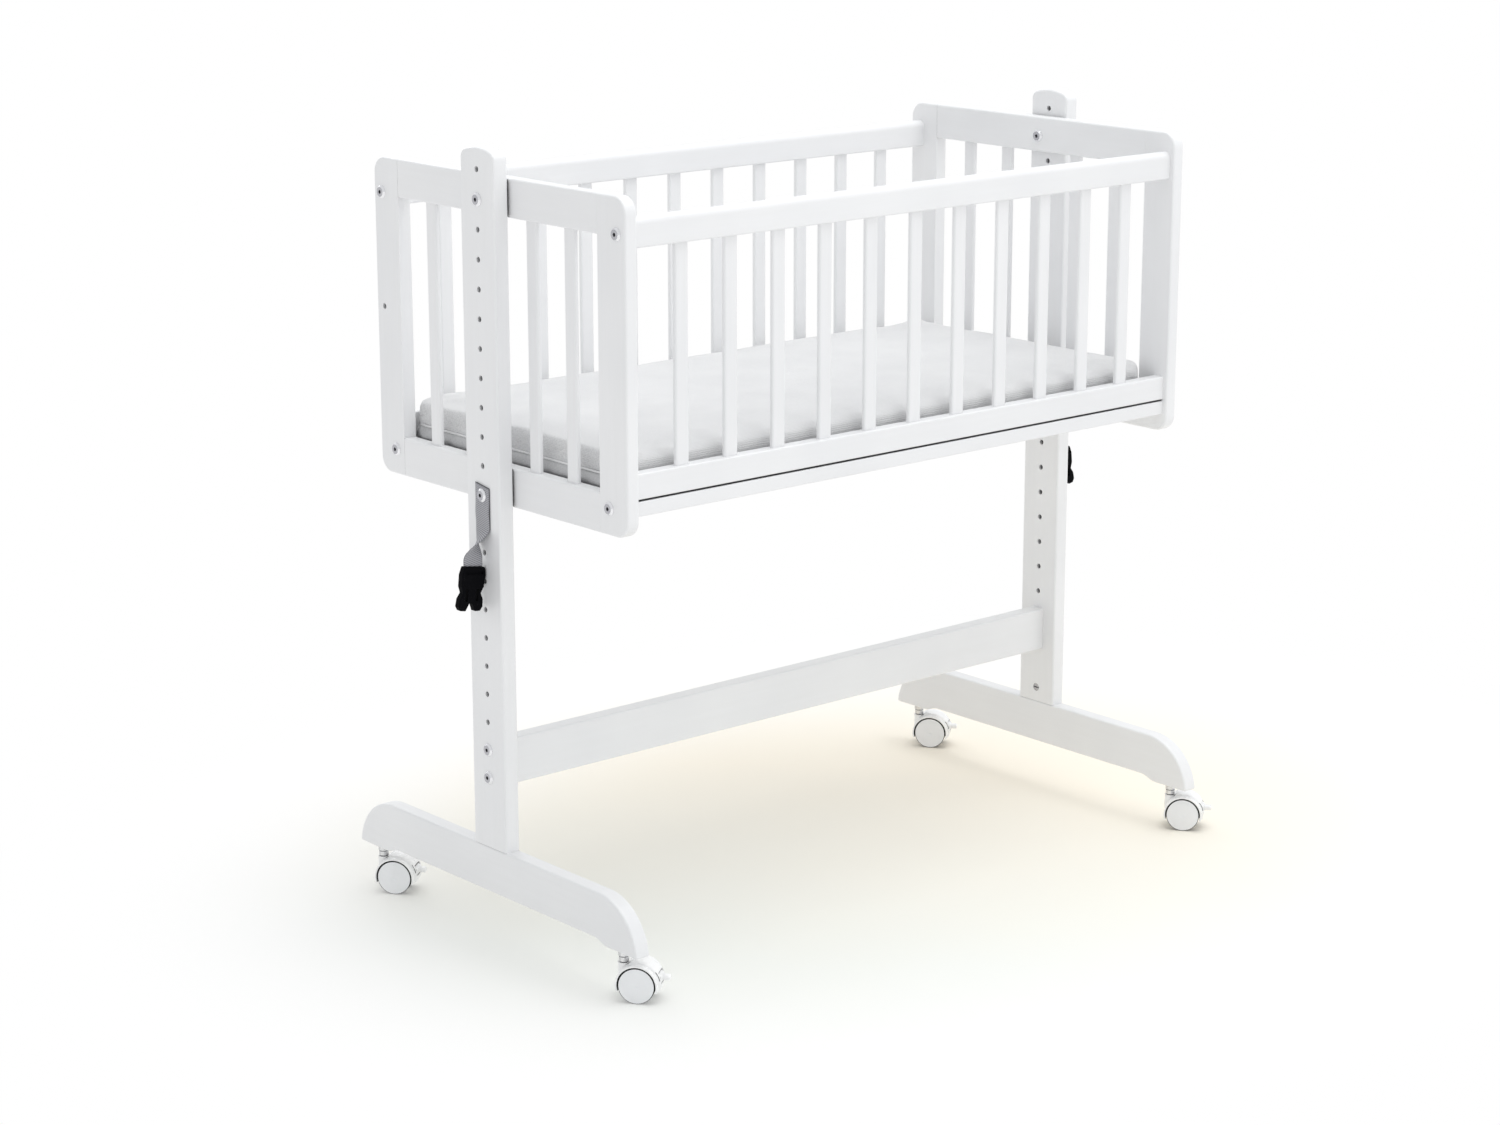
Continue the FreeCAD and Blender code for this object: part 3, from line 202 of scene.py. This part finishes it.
def moulded_plastic(name, tone, rough, shine=0.5, corner_shade=0.35, reach=0.006):
    """Injection-moulded plastic: fine spark texture, faint flow clouds, painted shade where parts
    meet, with weaker shine there.
    """
    look = Look(name)
    place = look.coords()
    spark = look.cells(place, 1900)
    flow = look.noise(look.stretch(place, (40, 40, 18)), 1.0, 3.0, 0.55)
    corner = look.open_air(reach)
    colour = look.mix(look.spread(flow, 0.3, 0.7, 0.0, 1.0), tuple(c * 0.94 for c in tone), tone)
    # Painted shade: the colour goes almost black where other surfaces lie within reach, as in the gap
    # between wheel and hood.
    painted_corner_shade = look.spread(corner, 0.12, 0.5, corner_shade, 0.0)
    colour = look.mix(painted_corner_shade, colour, tuple(c * 0.03 for c in tone))
    gloss = look.spread(flow, 0.3, 0.7, rough - 0.04, rough + 0.05)
    shine = look.spread(corner, 0.12, 0.5, shine * (1 - corner_shade), shine)
    return look.finish(Base_Color=colour, Roughness=gloss, Normal=look.bump(spark, 0.00003, 0.6),
                       Specular_IOR_Level=shine, IOR=1.5)


def rubber(name):
    """Near-black grey tyre rubber, scuffed lighter where it has rolled; its darkness is partly
    painted shade for the gap under the caster's hood.
    """
    look = Look(name)
    place = look.coords()
    scuffs = look.noise(place, 900, 4.0, 0.7)
    specks = look.cells(place, 2600)
    # Partly painted shade: the near-black tread also stands in for the dark gap between wheel and
    # hood.
    fresh, scuffed = (0.030, 0.030, 0.032), (0.055, 0.054, 0.053)
    colour = look.mix(look.spread(scuffs, 0.45, 0.7, 0.0, 1.0), fresh, scuffed)
    relief = look.bump(scuffs, 0.0001, 0.6)
    relief = look.bump(specks, 0.00004, 0.4, relief)
    return look.finish(Base_Color=colour, Roughness=0.82, Normal=relief, Specular_IOR_Level=0.25)


def knit(name, seam):
    """Knitted mattress cover: rows of small loops, a faint quilt of shading and soft fuzz;
    painted shade on its ends, grainy and darkest under the seam, and painted shade in narrow gaps
    such as behind the slats."""
    look = Look(name)
    place = look.coords()
    x, y, z = look.axes(place)
    upright = look.math("MULTIPLY", z, 0.9)
    rows = look.wave(look.math("ADD", y, upright), 0.0021)
    columns = look.math("ABSOLUTE", look.wave(look.math("ADD", x, upright), 0.0034))
    loops = look.math("ADD", look.math("MULTIPLY", rows, 0.5), columns)
    slubs = look.noise(place, 520, 3.0, 0.65)
    soft = look.noise(place, 14, 3.0, 0.5)
    end = look.spread(look.facing("X"), 0.3, 0.8, 0.0, 1.0)
    grain = look.spread(look.noise(place, 700, 2.0, 0.6), 0.44, 0.6, 0.0, 0.33)
    shade_under_seam = look.spread(z, seam - 0.0012, seam - 0.0002, 0.3, 0.0)
    # Painted shade: the cover goes nearly black where something lies within 12 mm, as in the gaps
    # behind the slats.
    painted_gap_shade = look.spread(look.open_air(0.012), 0.40, 0.58, 0.8, 0.0)
    colour = look.mix(look.spread(soft, 0.3, 0.7, 0.0, 1.0), (0.735, 0.735, 0.74), (0.80, 0.80, 0.80))
    colour = look.mix(look.spread(loops, -0.2, 1.3, 0.28, 0.0), colour, (0.56, 0.56, 0.57))
    colour = look.mix(look.spread(slubs, 0.45, 0.75, 0.0, 0.25), colour, (0.86, 0.86, 0.85))
    # Painted shade: the end faces are darkened in a coarse grain.
    colour = look.mix(look.math("MULTIPLY", grain, end), colour, (0.40, 0.40, 0.41))
    # Painted shade: under the seam the end faces go darker still, next to the end's bottom rail.
    colour = look.mix(look.math("MULTIPLY", shade_under_seam, end), colour, (0.30, 0.30, 0.31))
    colour = look.mix(painted_gap_shade, colour, (0.06, 0.06, 0.065))
    relief = look.bump(loops, 0.00035, 0.7)
    relief = look.bump(slubs, 0.0003, 0.45, relief)
    relief = look.bump(soft, 0.004, 0.25, relief)
    return look.finish(Base_Color=colour, Roughness=0.92, Normal=relief, Sheen_Weight=0.35,
                       Sheen_Roughness=0.5)


def webbing(name, light, dark):
    """Narrow woven strap, laid out by its UV map in metres: thin dark lines between the ribs,
    warp threads along them, painted shade along its selvedges and along its top end, cut at a slant."""
    look = Look(name)
    flat = look.coords("UV")
    across, along, _ = look.axes(flat)
    slant = look.math("MULTIPLY", across, SLANT)
    rib = look.wave(look.math("SUBTRACT", along, slant), 0.00205)
    half_turn = look.math("MULTIPLY", look.math("SIGN", rib), math.pi / 2)
    turns = look.math("MULTIPLY", across, 2 * math.pi / 0.0015)
    warp = look.math("SINE", look.math("ADD", turns, half_turn))
    fluff = look.noise(look.stretch(flat, (2400, 900, 1)), 1.0, 3.0, 0.6)
    off_centre = look.math("ABSOLUTE", look.math("SUBTRACT", across, WEBBING / 2))
    from_top = look.math("SUBTRACT", slant, look.math("ADD", along, WEBBING * SLANT))
    colour = look.mix(look.spread(warp, -0.4, 0.8, 0.0, 0.35), light, tuple(c * 0.72 for c in light))
    colour = look.mix(look.spread(rib, 0.35, 0.8, 0.0, 1.0), colour, dark)
    colour = look.mix(look.spread(fluff, 0.35, 0.7, 0.0, 0.3), colour, tuple(c * 0.75 for c in light))
    # Painted shade: dark bands along both selvedges, where the strap's edge lies in shadow.
    colour = look.mix(look.spread(off_centre, 0.0116, 0.0122, 0.0, 0.75), colour, dark)
    # Painted shade: a thin dark line along the slanted top end, the shadow gap at the cut.
    colour = look.mix(look.spread(from_top, 0.0004, 0.0009, 0.9, 0.0), colour, dark)
    woven = look.math("ADD", rib, look.math("MULTIPLY", warp, -0.3))
    relief = look.bump(fluff, 0.0002, 0.4, look.bump(woven, 0.0003, -0.9))
    return look.finish(Base_Color=colour, Roughness=0.85, Normal=relief, Sheen_Weight=0.25)


def thread(name, tone):
    """Twisted sewing thread."""
    look = Look(name)
    place = look.coords()
    twist = look.noise(look.stretch(place, (3000, 3000, 1200)), 1.0, 2.0, 0.5)
    colour = look.mix(look.spread(twist, 0.3, 0.7, 0.0, 1.0), tuple(c * 0.75 for c in tone), tone)
    return look.finish(Base_Color=colour, Roughness=0.8, Normal=look.bump(twist, 0.0002, 0.6))


SLANT = 0.16          # of the webbing's ribs and of its top end
WEBBING = 0.025       # its width
TYRE = 0.0193         # radius beyond which a wheel is rubber

LACQUER = {axis: lacquer("white_lacquer_" + axis, axis) for axis in "xyz"}
ZINC = plated_steel("zinc_plated_steel", (0.40, 0.40, 0.43), (0.86, 0.86, 0.88), 0.24)
STEEL = plated_steel("bright_steel", (0.6, 0.6, 0.61), (0.74, 0.74, 0.75), 0.2)
SPACER = moulded_plastic("spacer_plastic", (0.80, 0.80, 0.79), 0.5)
# The hood and wheels get strong painted shade in the gaps between them.
HOOD = moulded_plastic("caster_plastic", (0.93, 0.93, 0.93), 0.28, corner_shade=0.95, reach=0.006)
WHEEL = moulded_plastic("wheel_plastic", (0.86, 0.87, 0.885), 0.36, corner_shade=0.9, reach=0.004)
BUCKLE = moulded_plastic("buckle_plastic", (0.002, 0.002, 0.003), 0.62, shine=0.05)
TYRE_RUBBER_AND_SHADE = rubber("tyre_rubber_and_shade")
PIPING = thread("piping", (0.90, 0.90, 0.90))
STRAP = webbing("strap_webbing", (0.46, 0.46, 0.49), (0.06, 0.06, 0.07))


def paint(obj, material):
    obj.data.materials.clear()
    obj.data.materials.append(material)


def paint_cad():
    """Gives every carried-over CAD node its material; wood follows the grain's direction."""
    for name, obj in NODES.items():
        if name.startswith(("upright", "end_stile", "end_slats", "side_slats")):
            paint(obj, LACQUER["z"])
        elif name.startswith(("foot_left", "foot_right", "end_top_rail", "end_bottom_rail")):
            paint(obj, LACQUER["y"])
        elif name.startswith(("cross_rail_b", "foot_b", "strap_bolts", "pivot_b", "pivot_n",
                              "upper_", "lower_")):
            paint(obj, ZINC)
        elif name.startswith(("cross_rail", "side_top_rail", "side_bottom_rail", "base_board")):
            paint(obj, LACQUER["x"])
        elif name == "pivot_spacers":
            paint(obj, SPACER)
        elif name.startswith(("caster_hood", "brake_lever")):
            paint(obj, HOOD)
        elif name.startswith("caster_wheels"):
            paint(obj, WHEEL)
        elif name.startswith(("caster_axle", "caster_stems")):
            paint(obj, STEEL)
        elif name.startswith("buckle"):
            paint(obj, BUCKLE)
        elif name.startswith("strap"):
            paint(obj, STRAP)
        elif name == "mattress":
            paint(obj, KNIT)


def paint_tyres():
    """The running surface of each wheel is dark rubber, dark partly as painted shade for the gap
    under the hood, and its disc stays white.
    """
    for joint in frame["joints"]:
        if not joint["name"].startswith("wheel_spin_"):
            continue
        wheels = NODES[joint["name"].replace("wheel_spin", "caster_wheels")]
        wheels.data.materials.append(TYRE_RUBBER_AND_SHADE)
        hub, axle = Vector(joint["pos_m"]), Vector(joint["axis"]).normalized()
        for face in wheels.data.polygons:
            out = face.center - hub
            if (out - axle * out.dot(axle)).length > TYRE:
                face.material_index = 1


# ---------------------------------------------------------------- mesh helpers


def new_object(name, mesh, material):
    obj = bpy.data.objects.new(name, mesh)
    bpy.context.scene.collection.objects.link(obj)
    paint(obj, material)
    for face in mesh.polygons:
        face.use_smooth = True
    return obj


def to_mesh(bm, name):
    mesh = bpy.data.meshes.new(name)
    bm.to_mesh(mesh)
    bm.free()
    return mesh


def clamp(value, low, high):
    return max(low, min(high, value))


def bridge(bm, lower, upper):
    """Joins two closed rings of vertices with faces."""
    faces = []
    for number in range(len(lower)):
        after = (number + 1) % len(lower)
        faces.append(bm.faces.new((lower[number], lower[after], upper[after], upper[number])))
    return faces


def cord(name, path, radius, material, sides=10):
    """A round cord along a closed path of points."""
    bm = bmesh.new()
    rings = []
    for number, point in enumerate(path):
        ahead = (path[(number + 1) % len(path)] - path[number - 1]).normalized()
        side = ahead.cross(Vector((0, 0, 1))).normalized()
        up = side.cross(ahead).normalized()
        angles = [2 * math.pi * step / sides for step in range(sides)]
        places = [point + (side * math.cos(a) + up * math.sin(a)) * radius for a in angles]
        rings.append([bm.verts.new(place) for place in places])
    for number, ring in enumerate(rings):
        bridge(bm, rings[number - 1], ring)
    bmesh.ops.recalc_face_normals(bm, faces=bm.faces)
    return new_object(name, to_mesh(bm, name), material)


def rounded_rectangle(half_x, half_y, radius, spacing):
    """Points round a rounded rectangle, about spacing apart, anticlockwise from above."""
    points = []
    for turn in range(4):
        angle = turn * math.pi / 2
        cx = (half_x - radius) * (1 if turn in (0, 3) else -1)
        cy = (half_y - radius) * (1 if turn in (0, 1) else -1)
        steps = max(4, round(radius * math.pi / 2 / spacing))
        for step in range(steps + 1):
            a = angle + math.pi / 2 * step / steps
            points.append(Vector((cx + radius * math.cos(a), cy + radius * math.sin(a), 0)))
    filled = []
    for number, start in enumerate(points):
        end = points[(number + 1) % len(points)]
        pieces = max(1, round((end - start).length / spacing))
        filled += [start.lerp(end, k / pieces) for k in range(pieces)]
    return filled


# ---------------------------------------------------------------- mattress

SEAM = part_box("mattress")[0].z + 0.0182     # height of the piped seam
CORNER = 0.020                              # radius of the pad's upright corners
EDGE = 0.007                                # radius of its top and bottom edges
CAP = 0.006                                 # how far the cover may swell
VOXEL = 0.006                               # size of the cover's faces before smoothing
PIPE = 0.0014                               # radius of the piping
FRAMES = 20                                 # length of the cloth pass

KNIT = knit("knitted_cover", SEAM)


def padded_block(low, high):
    """A closed block with round upright corners and softened top and bottom edges."""
    centre, half = (low + high) / 2, (high - low) / 2
    quarter = [math.pi / 2 * step / 4 for step in range(5)]
    profile = [(1 - math.sin(a), low.z + EDGE * (1 - math.cos(a))) for a in quarter]
    profile += [(1 - math.cos(a), high.z - EDGE * (1 - math.sin(a))) for a in quarter]
    bm = bmesh.new()
    rings = []
    for share, height in profile:
        inset = EDGE * share
        outline = rounded_rectangle(half.x - inset, half.y - inset, CORNER - inset, 0.02)
        rings.append([bm.verts.new((centre.x + p.x, centre.y + p.y, height)) for p in outline])
    for lower, upper in zip(rings, rings[1:]):
        bridge(bm, lower, upper)
    bm.faces.new(reversed(rings[0]))
    bm.faces.new(rings[-1])
    return to_mesh(bm, "mattress_cover")


def remeshed(obj):
    """The object's shape as a new mesh of even small faces."""
    remesh = obj.modifiers.new("Remesh", "REMESH")
    remesh.mode = "VOXEL"
    remesh.voxel_size = VOXEL
    mesh = bpy.data.meshes.new_from_object(obj.evaluated_get(bpy.context.evaluated_depsgraph_get()))
    obj.modifiers.clear()
    return mesh


def inflate(obj, pinned_below):
    """Swells a closed cover with air pressure, its underside held; the motion is capped."""
    start = [v.co.copy() for v in obj.data.vertices]
    held = obj.vertex_groups.new(name="held")
    for vertex in obj.data.vertices:
        share = 1.0 if vertex.co.z < pinned_below else 0.0
        held.add([vertex.index], share, "REPLACE")
    cloth = obj.modifiers.new("Cloth", "CLOTH")
    cloth.settings.quality = 5
    cloth.settings.use_pressure = True
    cloth.settings.uniform_pressure_force = 4.0
    cloth.settings.tension_stiffness = 12
    cloth.settings.compression_stiffness = 12
    cloth.settings.shear_stiffness = 6
    cloth.settings.bending_stiffness = 1.5
    cloth.settings.vertex_group_mass = "held"
    cloth.settings.effector_weights.gravity = 0
    cloth.point_cache.frame_start = 1
    cloth.point_cache.frame_end = FRAMES
    scene = bpy.context.scene
    for number in range(1, FRAMES + 1):
        scene.frame_set(number)
    evaluated = obj.evaluated_get(bpy.context.evaluated_depsgraph_get())
    moved = [v.co.copy() for v in evaluated.data.vertices]
    obj.modifiers.remove(cloth)
    for vertex, before, after in zip(obj.data.vertices, start, moved):
        shift = after - before
        if shift.length > CAP:
            shift = shift.normalized() * CAP
        vertex.co = before + shift
    obj.vertex_groups.clear()
    scene.frame_set(1)


def seam_and_ripples(bm, low, high):
    """Draws the cover in at its seam, ripples its top and keeps it inside the box."""
    play, deep, rim = 0.0004, 0.0022, 0.02
    for vertex in bm.verts:
        co = vertex.co
        rise = (co.z - low.z) / (high.z - low.z)
        near_edge = max(abs(co.x) / high.x, abs(co.y) / high.y)
        pull = math.exp(-((co.z - SEAM) / (2 * PIPE)) ** 2) if near_edge > 0.93 else 0.0
        outward = Vector((co.x - clamp(co.x, rim - high.x, high.x - rim),
                          co.y - clamp(co.y, rim - high.y, high.y - rim), 0))
        if outward.length > 1e-6:
            co -= outward.normalized() * deep * pull
        ripple = noise.noise(Vector((co.x * 16, co.y * 16, co.z * 40)))
        fold = noise.noise(Vector((co.x * 45, co.y * 45, co.z * 18 + 4)))
        co.z += (0.0008 * ripple + 0.00025 * fold) * min(max(rise - 0.4, 0) * 3, 1)
        co.x = clamp(co.x, low.x + play, high.x - play)
        co.y = clamp(co.y, low.y + play, high.y - play)
        co.z = max(low.z + 0.0003, co.z)


def seam_path(tree, high):
    """Points on the cover all round at the seam's height, smoothed."""
    path = []
    core, clear, bite = 0.05, 0.02, 0.0006
    for point in rounded_rectangle(high.x, high.y, 0.022, 0.006):
        inner = Vector((clamp(point.x, core - high.x, high.x - core),
                        clamp(point.y, core - high.y, high.y - core), SEAM))
        outside = Vector((point.x, point.y, SEAM))
        ahead = (inner - outside).normalized()
        path.append(tree.ray_cast(outside - ahead * clear, ahead)[0] - ahead * bite)
    for _ in range(3):
        after = path[1:] + path[:1]
        path = [(path[i - 1] + path[i] * 2 + after[i]) / 4 for i in range(len(path))]
    return path


def make_mattress():
    """Foam pad in a knitted cover with a piped seam low on its side."""
    low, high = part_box("mattress")
    start = padded_block(low + Vector((0.0006, 0.0006, 0.0004)),
                         high - Vector((0.0006, 0.0006, 0.0035)))
    pad = new_object("mattress_cover", start, KNIT)
    pad.data = remeshed(pad)
    inflate(pad, low.z + 0.003)
    bm = bmesh.new()
    bm.from_mesh(pad.data)
    bmesh.ops.smooth_vert(bm, verts=bm.verts, factor=0.5,
                          use_axis_x=True, use_axis_y=True, use_axis_z=True)
    bmesh.ops.subdivide_edges(bm, edges=bm.edges, cuts=1, use_grid_fill=True, smooth=0.6)
    seam_and_ripples(bm, low, high)
    bm.to_mesh(pad.data)
    tree = BVHTree.FromBMesh(bm)
    bm.free()
    paint(pad, KNIT)
    for face in pad.data.polygons:
        face.use_smooth = True
    piping = cord("mattress_piping", seam_path(tree, high), PIPE, PIPING)
    for obj in (pad, piping):
        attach(obj, "bassinet")
    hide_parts("mattress")


# ---------------------------------------------------------------- straps


HALF_THICK = 0.0008                # of the webbing
SELVEDGE = 0.0012                  # width of its rounded edges
FLAT_END = 0.478                   # height at which the webbing starts to turn
STATIONS = 60                      # along the webbing
BUCKLE_LEAN = math.radians(9)


def strap_line(end):
    """Centre, width direction and outward normal of the webbing, from its top end down.

    It lies flat on the upright's outer face, turns a quarter turn and ends in the buckle.
    """
    low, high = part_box("strap_left")
    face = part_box("upright_left")[0].x
    width = high.y - low.y
    lift, drift, bulge = HALF_THICK + 0.00018, 0.002, 0.0006
    stations = []
    for number in range(STATIONS + 1):
        z = high.z + (low.z - 0.001 - high.z) * number / STATIONS
        share = clamp((FLAT_END - z) / ((FLAT_END - low.z) * 0.8), 0.0, 1.0)
        turned = math.pi / 2 * (0.5 - 0.5 * math.cos(math.pi * share))
        away = lift + drift * turned / (math.pi / 2) + width / 2 * math.sin(turned)
        slack = clamp((z - 0.482) / 0.012, 0.0, 1.0) * clamp((0.506 - z) / 0.012, 0.0, 1.0)
        centre = Vector((face - away - bulge * slack, 0, z))
        wide = Vector((math.sin(turned), math.cos(turned), 0))
        normal = Vector((-math.cos(turned), math.sin(turned), 0))
        stations.append((centre, wide, normal))
    if end > 0:
        half_turn = Matrix.Rotation(math.pi, 4, "Z")
        stations = [tuple(half_turn @ part for part in station) for station in stations]
    return stations, width


def cut_off(bm, place, outward):
    """Cuts the webbing at a plane and closes the cut."""
    every = bm.verts[:] + bm.edges[:] + bm.faces[:]
    cut = bmesh.ops.bisect_plane(bm, geom=every, plane_co=place, plane_no=outward, clear_outer=True)
    edges = [part for part in cut["geom_cut"] if isinstance(part, bmesh.types.BMEdge)]
    bmesh.ops.edgeloop_fill(bm, edges=edges)


def trim_ends(bm, end):
    """The top is cut at a slant, the bottom parallel to the top of the leaning buckle."""
    low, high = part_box("strap_left")
    middle = Vector((end * -(low.x + 0.0126), 0, low.z + 0.002))
    cut_off(bm, middle, Vector((end * math.sin(BUCKLE_LEAN), 0, -math.cos(BUCKLE_LEAN))))
    corner = Vector((0, -end * high.y, high.z))
    cut_off(bm, corner, Vector((0, end * SLANT, 1)).normalized())


def section_of(width, steps=12):
    """Points round the webbing's section: flat, with rounded selvedges."""
    half = width / 2
    upper = []
    for step in range(steps + 1):
        u = -half + width * step / steps
        edge = max(0.0, 1 - (half - abs(u)) / SELVEDGE)
        upper.append((u, HALF_THICK * math.sqrt(max(1 - edge ** 2, 0.02))))
    return upper + [(u, -t) for u, t in reversed(upper)]


def make_strap(label, end):
    """Woven band with rounded selvedges, a UV map in metres and trimmed ends."""
    stations, width = strap_line(end)
    section = section_of(width)
    bm = bmesh.new()
    uv = bm.loops.layers.uv.new("UVMap")
    rings, lengths = [], []
    for number, (centre, wide, normal) in enumerate(stations):
        step = (centre - stations[number - 1][0]).length if number else 0.0
        lengths.append(lengths[-1] + step if number else 0.0)
        rings.append([bm.verts.new(centre + wide * u + normal * t) for u, t in section])
    for number, (lower, upper) in enumerate(zip(rings, rings[1:])):
        for start, face in enumerate(bridge(bm, lower, upper)):
            after = (start + 1) % len(section)
            corners = ((start, number), (after, number), (after, number + 1), (start, number + 1))
            for corner, (place, station) in zip(face.loops, corners):
                corner[uv].uv = (section[place][0] + width / 2, -lengths[station])
    bm.faces.new(rings[0])
    bm.faces.new(list(reversed(rings[-1])))
    trim_ends(bm, end)
    bmesh.ops.recalc_face_normals(bm, faces=bm.faces)
    name = label + "_webbing"
    band = new_object(name, to_mesh(bm, name), STRAP)
    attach(band, "stand")
    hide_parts(label)


# ---------------------------------------------------------------- room, light and camera


def make_floor():
    """A pale warm floor that fades to plain white away from the cradle."""
    mesh = bpy.data.meshes.new("floor")
    reach = 30.0
    corners = [(x * reach, y * reach, 0) for x, y in ((-1, -1), (1, -1), (1, 1), (-1, 1))]
    mesh.from_pydata(corners, [], [(0, 1, 2, 3)])
    look = Look("studio_floor")
    place = look.coords()
    ellipse = {"Vector": place, "Location": (-0.12, 0.0, 0), "Scale": (1.0, 1.25, 1)}
    squashed = look.node("Mapping", None, ellipse).outputs["Vector"]
    away = look.node("VectorMath", {"operation": "LENGTH"}, {0: squashed}).outputs["Value"]
    fade = look.spread(away, 0.35, 1.15, 0.0, 1.0)
    fade.node.interpolation_type = "SMOOTHERSTEP"
    x, y, _ = look.axes(place)
    depth = look.math("ADD", x, look.math("MULTIPLY", y, 0.8))
    cloud = look.math("MULTIPLY", look.noise(place, 3.0, 2.0, 0.5), 0.2)
    far = look.spread(look.math("ADD", depth, cloud), -0.35, 0.55, 0.0, 1.0)
    cream = look.mix(far, (0.85, 0.86, 0.815), (0.955, 0.892, 0.775))
    look.finish(Base_Color=look.mix(fade, cream, (0.95, 0.95, 0.94)), Roughness=0.7)
    glow = look.node("Emission", None, {"Color": (1.0, 1.0, 1.0), "Strength": 1.0}).outputs[0]
    mixed = look.node("MixShader", None, {0: fade, 1: look.shader.outputs[0], 2: glow}).outputs[0]
    look.feed(look.tree.nodes["Material Output"].inputs["Surface"], mixed)
    new_object("floor", mesh, look.material)


def make_world():
    """Even white surroundings, a little darker towards the cradle's left end; the camera
    sees plain white."""
    world = bpy.data.worlds.new("studio")
    bpy.context.scene.world = world
    world.use_nodes = True
    world.node_tree.nodes.clear()
    room = Nodes(world.node_tree)
    x, y, _ = room.axes(room.coords("Generated"))
    strength = room.math("MULTIPLY", room.spread(x, -1, 1, 0.725, 1.06),
                         room.spread(y, -1, 1, 1.03, 0.95))
    light = {"Color": (0.97, 0.985, 1.0), "Strength": strength}
    lit = room.node("Background", None, light).outputs[0]
    seen = room.node("Background", None, {"Color": (1, 1, 1), "Strength": 1.0}).outputs[0]
    by_camera = room.node("LightPath").outputs["Is Camera Ray"]
    mixed = room.node("MixShader", None, {0: by_camera, 1: lit, 2: seen}).outputs[0]
    room.node("OutputWorld", None, {"Surface": mixed})


def area_light(name, place, target, size, power):
    data = bpy.data.lights.new(name, "AREA")
    data.shape = "DISK"
    data.size = size
    data.energy = power
    lamp = bpy.data.objects.new(name, data)
    bpy.context.scene.collection.objects.link(lamp)
    lamp.location = place
    lamp.rotation_euler = (Vector(target) - Vector(place)).to_track_quat("-Z", "Y").to_euler()
    lamp.visible_camera = False


def make_camera():
    """In front of the left end, a little above the bassinet, level from side to side."""
    turn, dip = math.radians(40.87), math.radians(14.3213)
    data = bpy.data.cameras.new("camera")
    data.sensor_width = 36
    data.lens = 78.63
    data.shift_x = -0.0021
    data.shift_y = -0.0009
    data.clip_end = 100
    camera = bpy.data.objects.new("camera", data)
    bpy.context.scene.collection.objects.link(camera)
    camera.location = (-2.4721, -2.7930, 1.318)
    camera.rotation_euler = (math.pi / 2 - dip, 0, -turn)
    bpy.context.scene.camera = camera


# ---------------------------------------------------------------- build

paint_cad()
paint_tyres()
make_mattress()
for strap_name, strap_end in (("strap_left", -1), ("strap_right", 1)):
    make_strap(strap_name, strap_end)

make_floor()
make_world()
area_light("overhead", (0.4, -0.6, 3.2), (0, 0, 0.5), 2.6, 32)
area_light("behind", (0.6, 3.4, 1.5), (0, 0, 0.2), 2.4, 14)
area_light("front", (0.6, -3.4, 1.9), (0, 0, 0.5), 1.8, 4)
make_camera()
bpy.context.scene.view_settings.view_transform = "Standard"
bpy.context.scene.view_settings.look = "None"
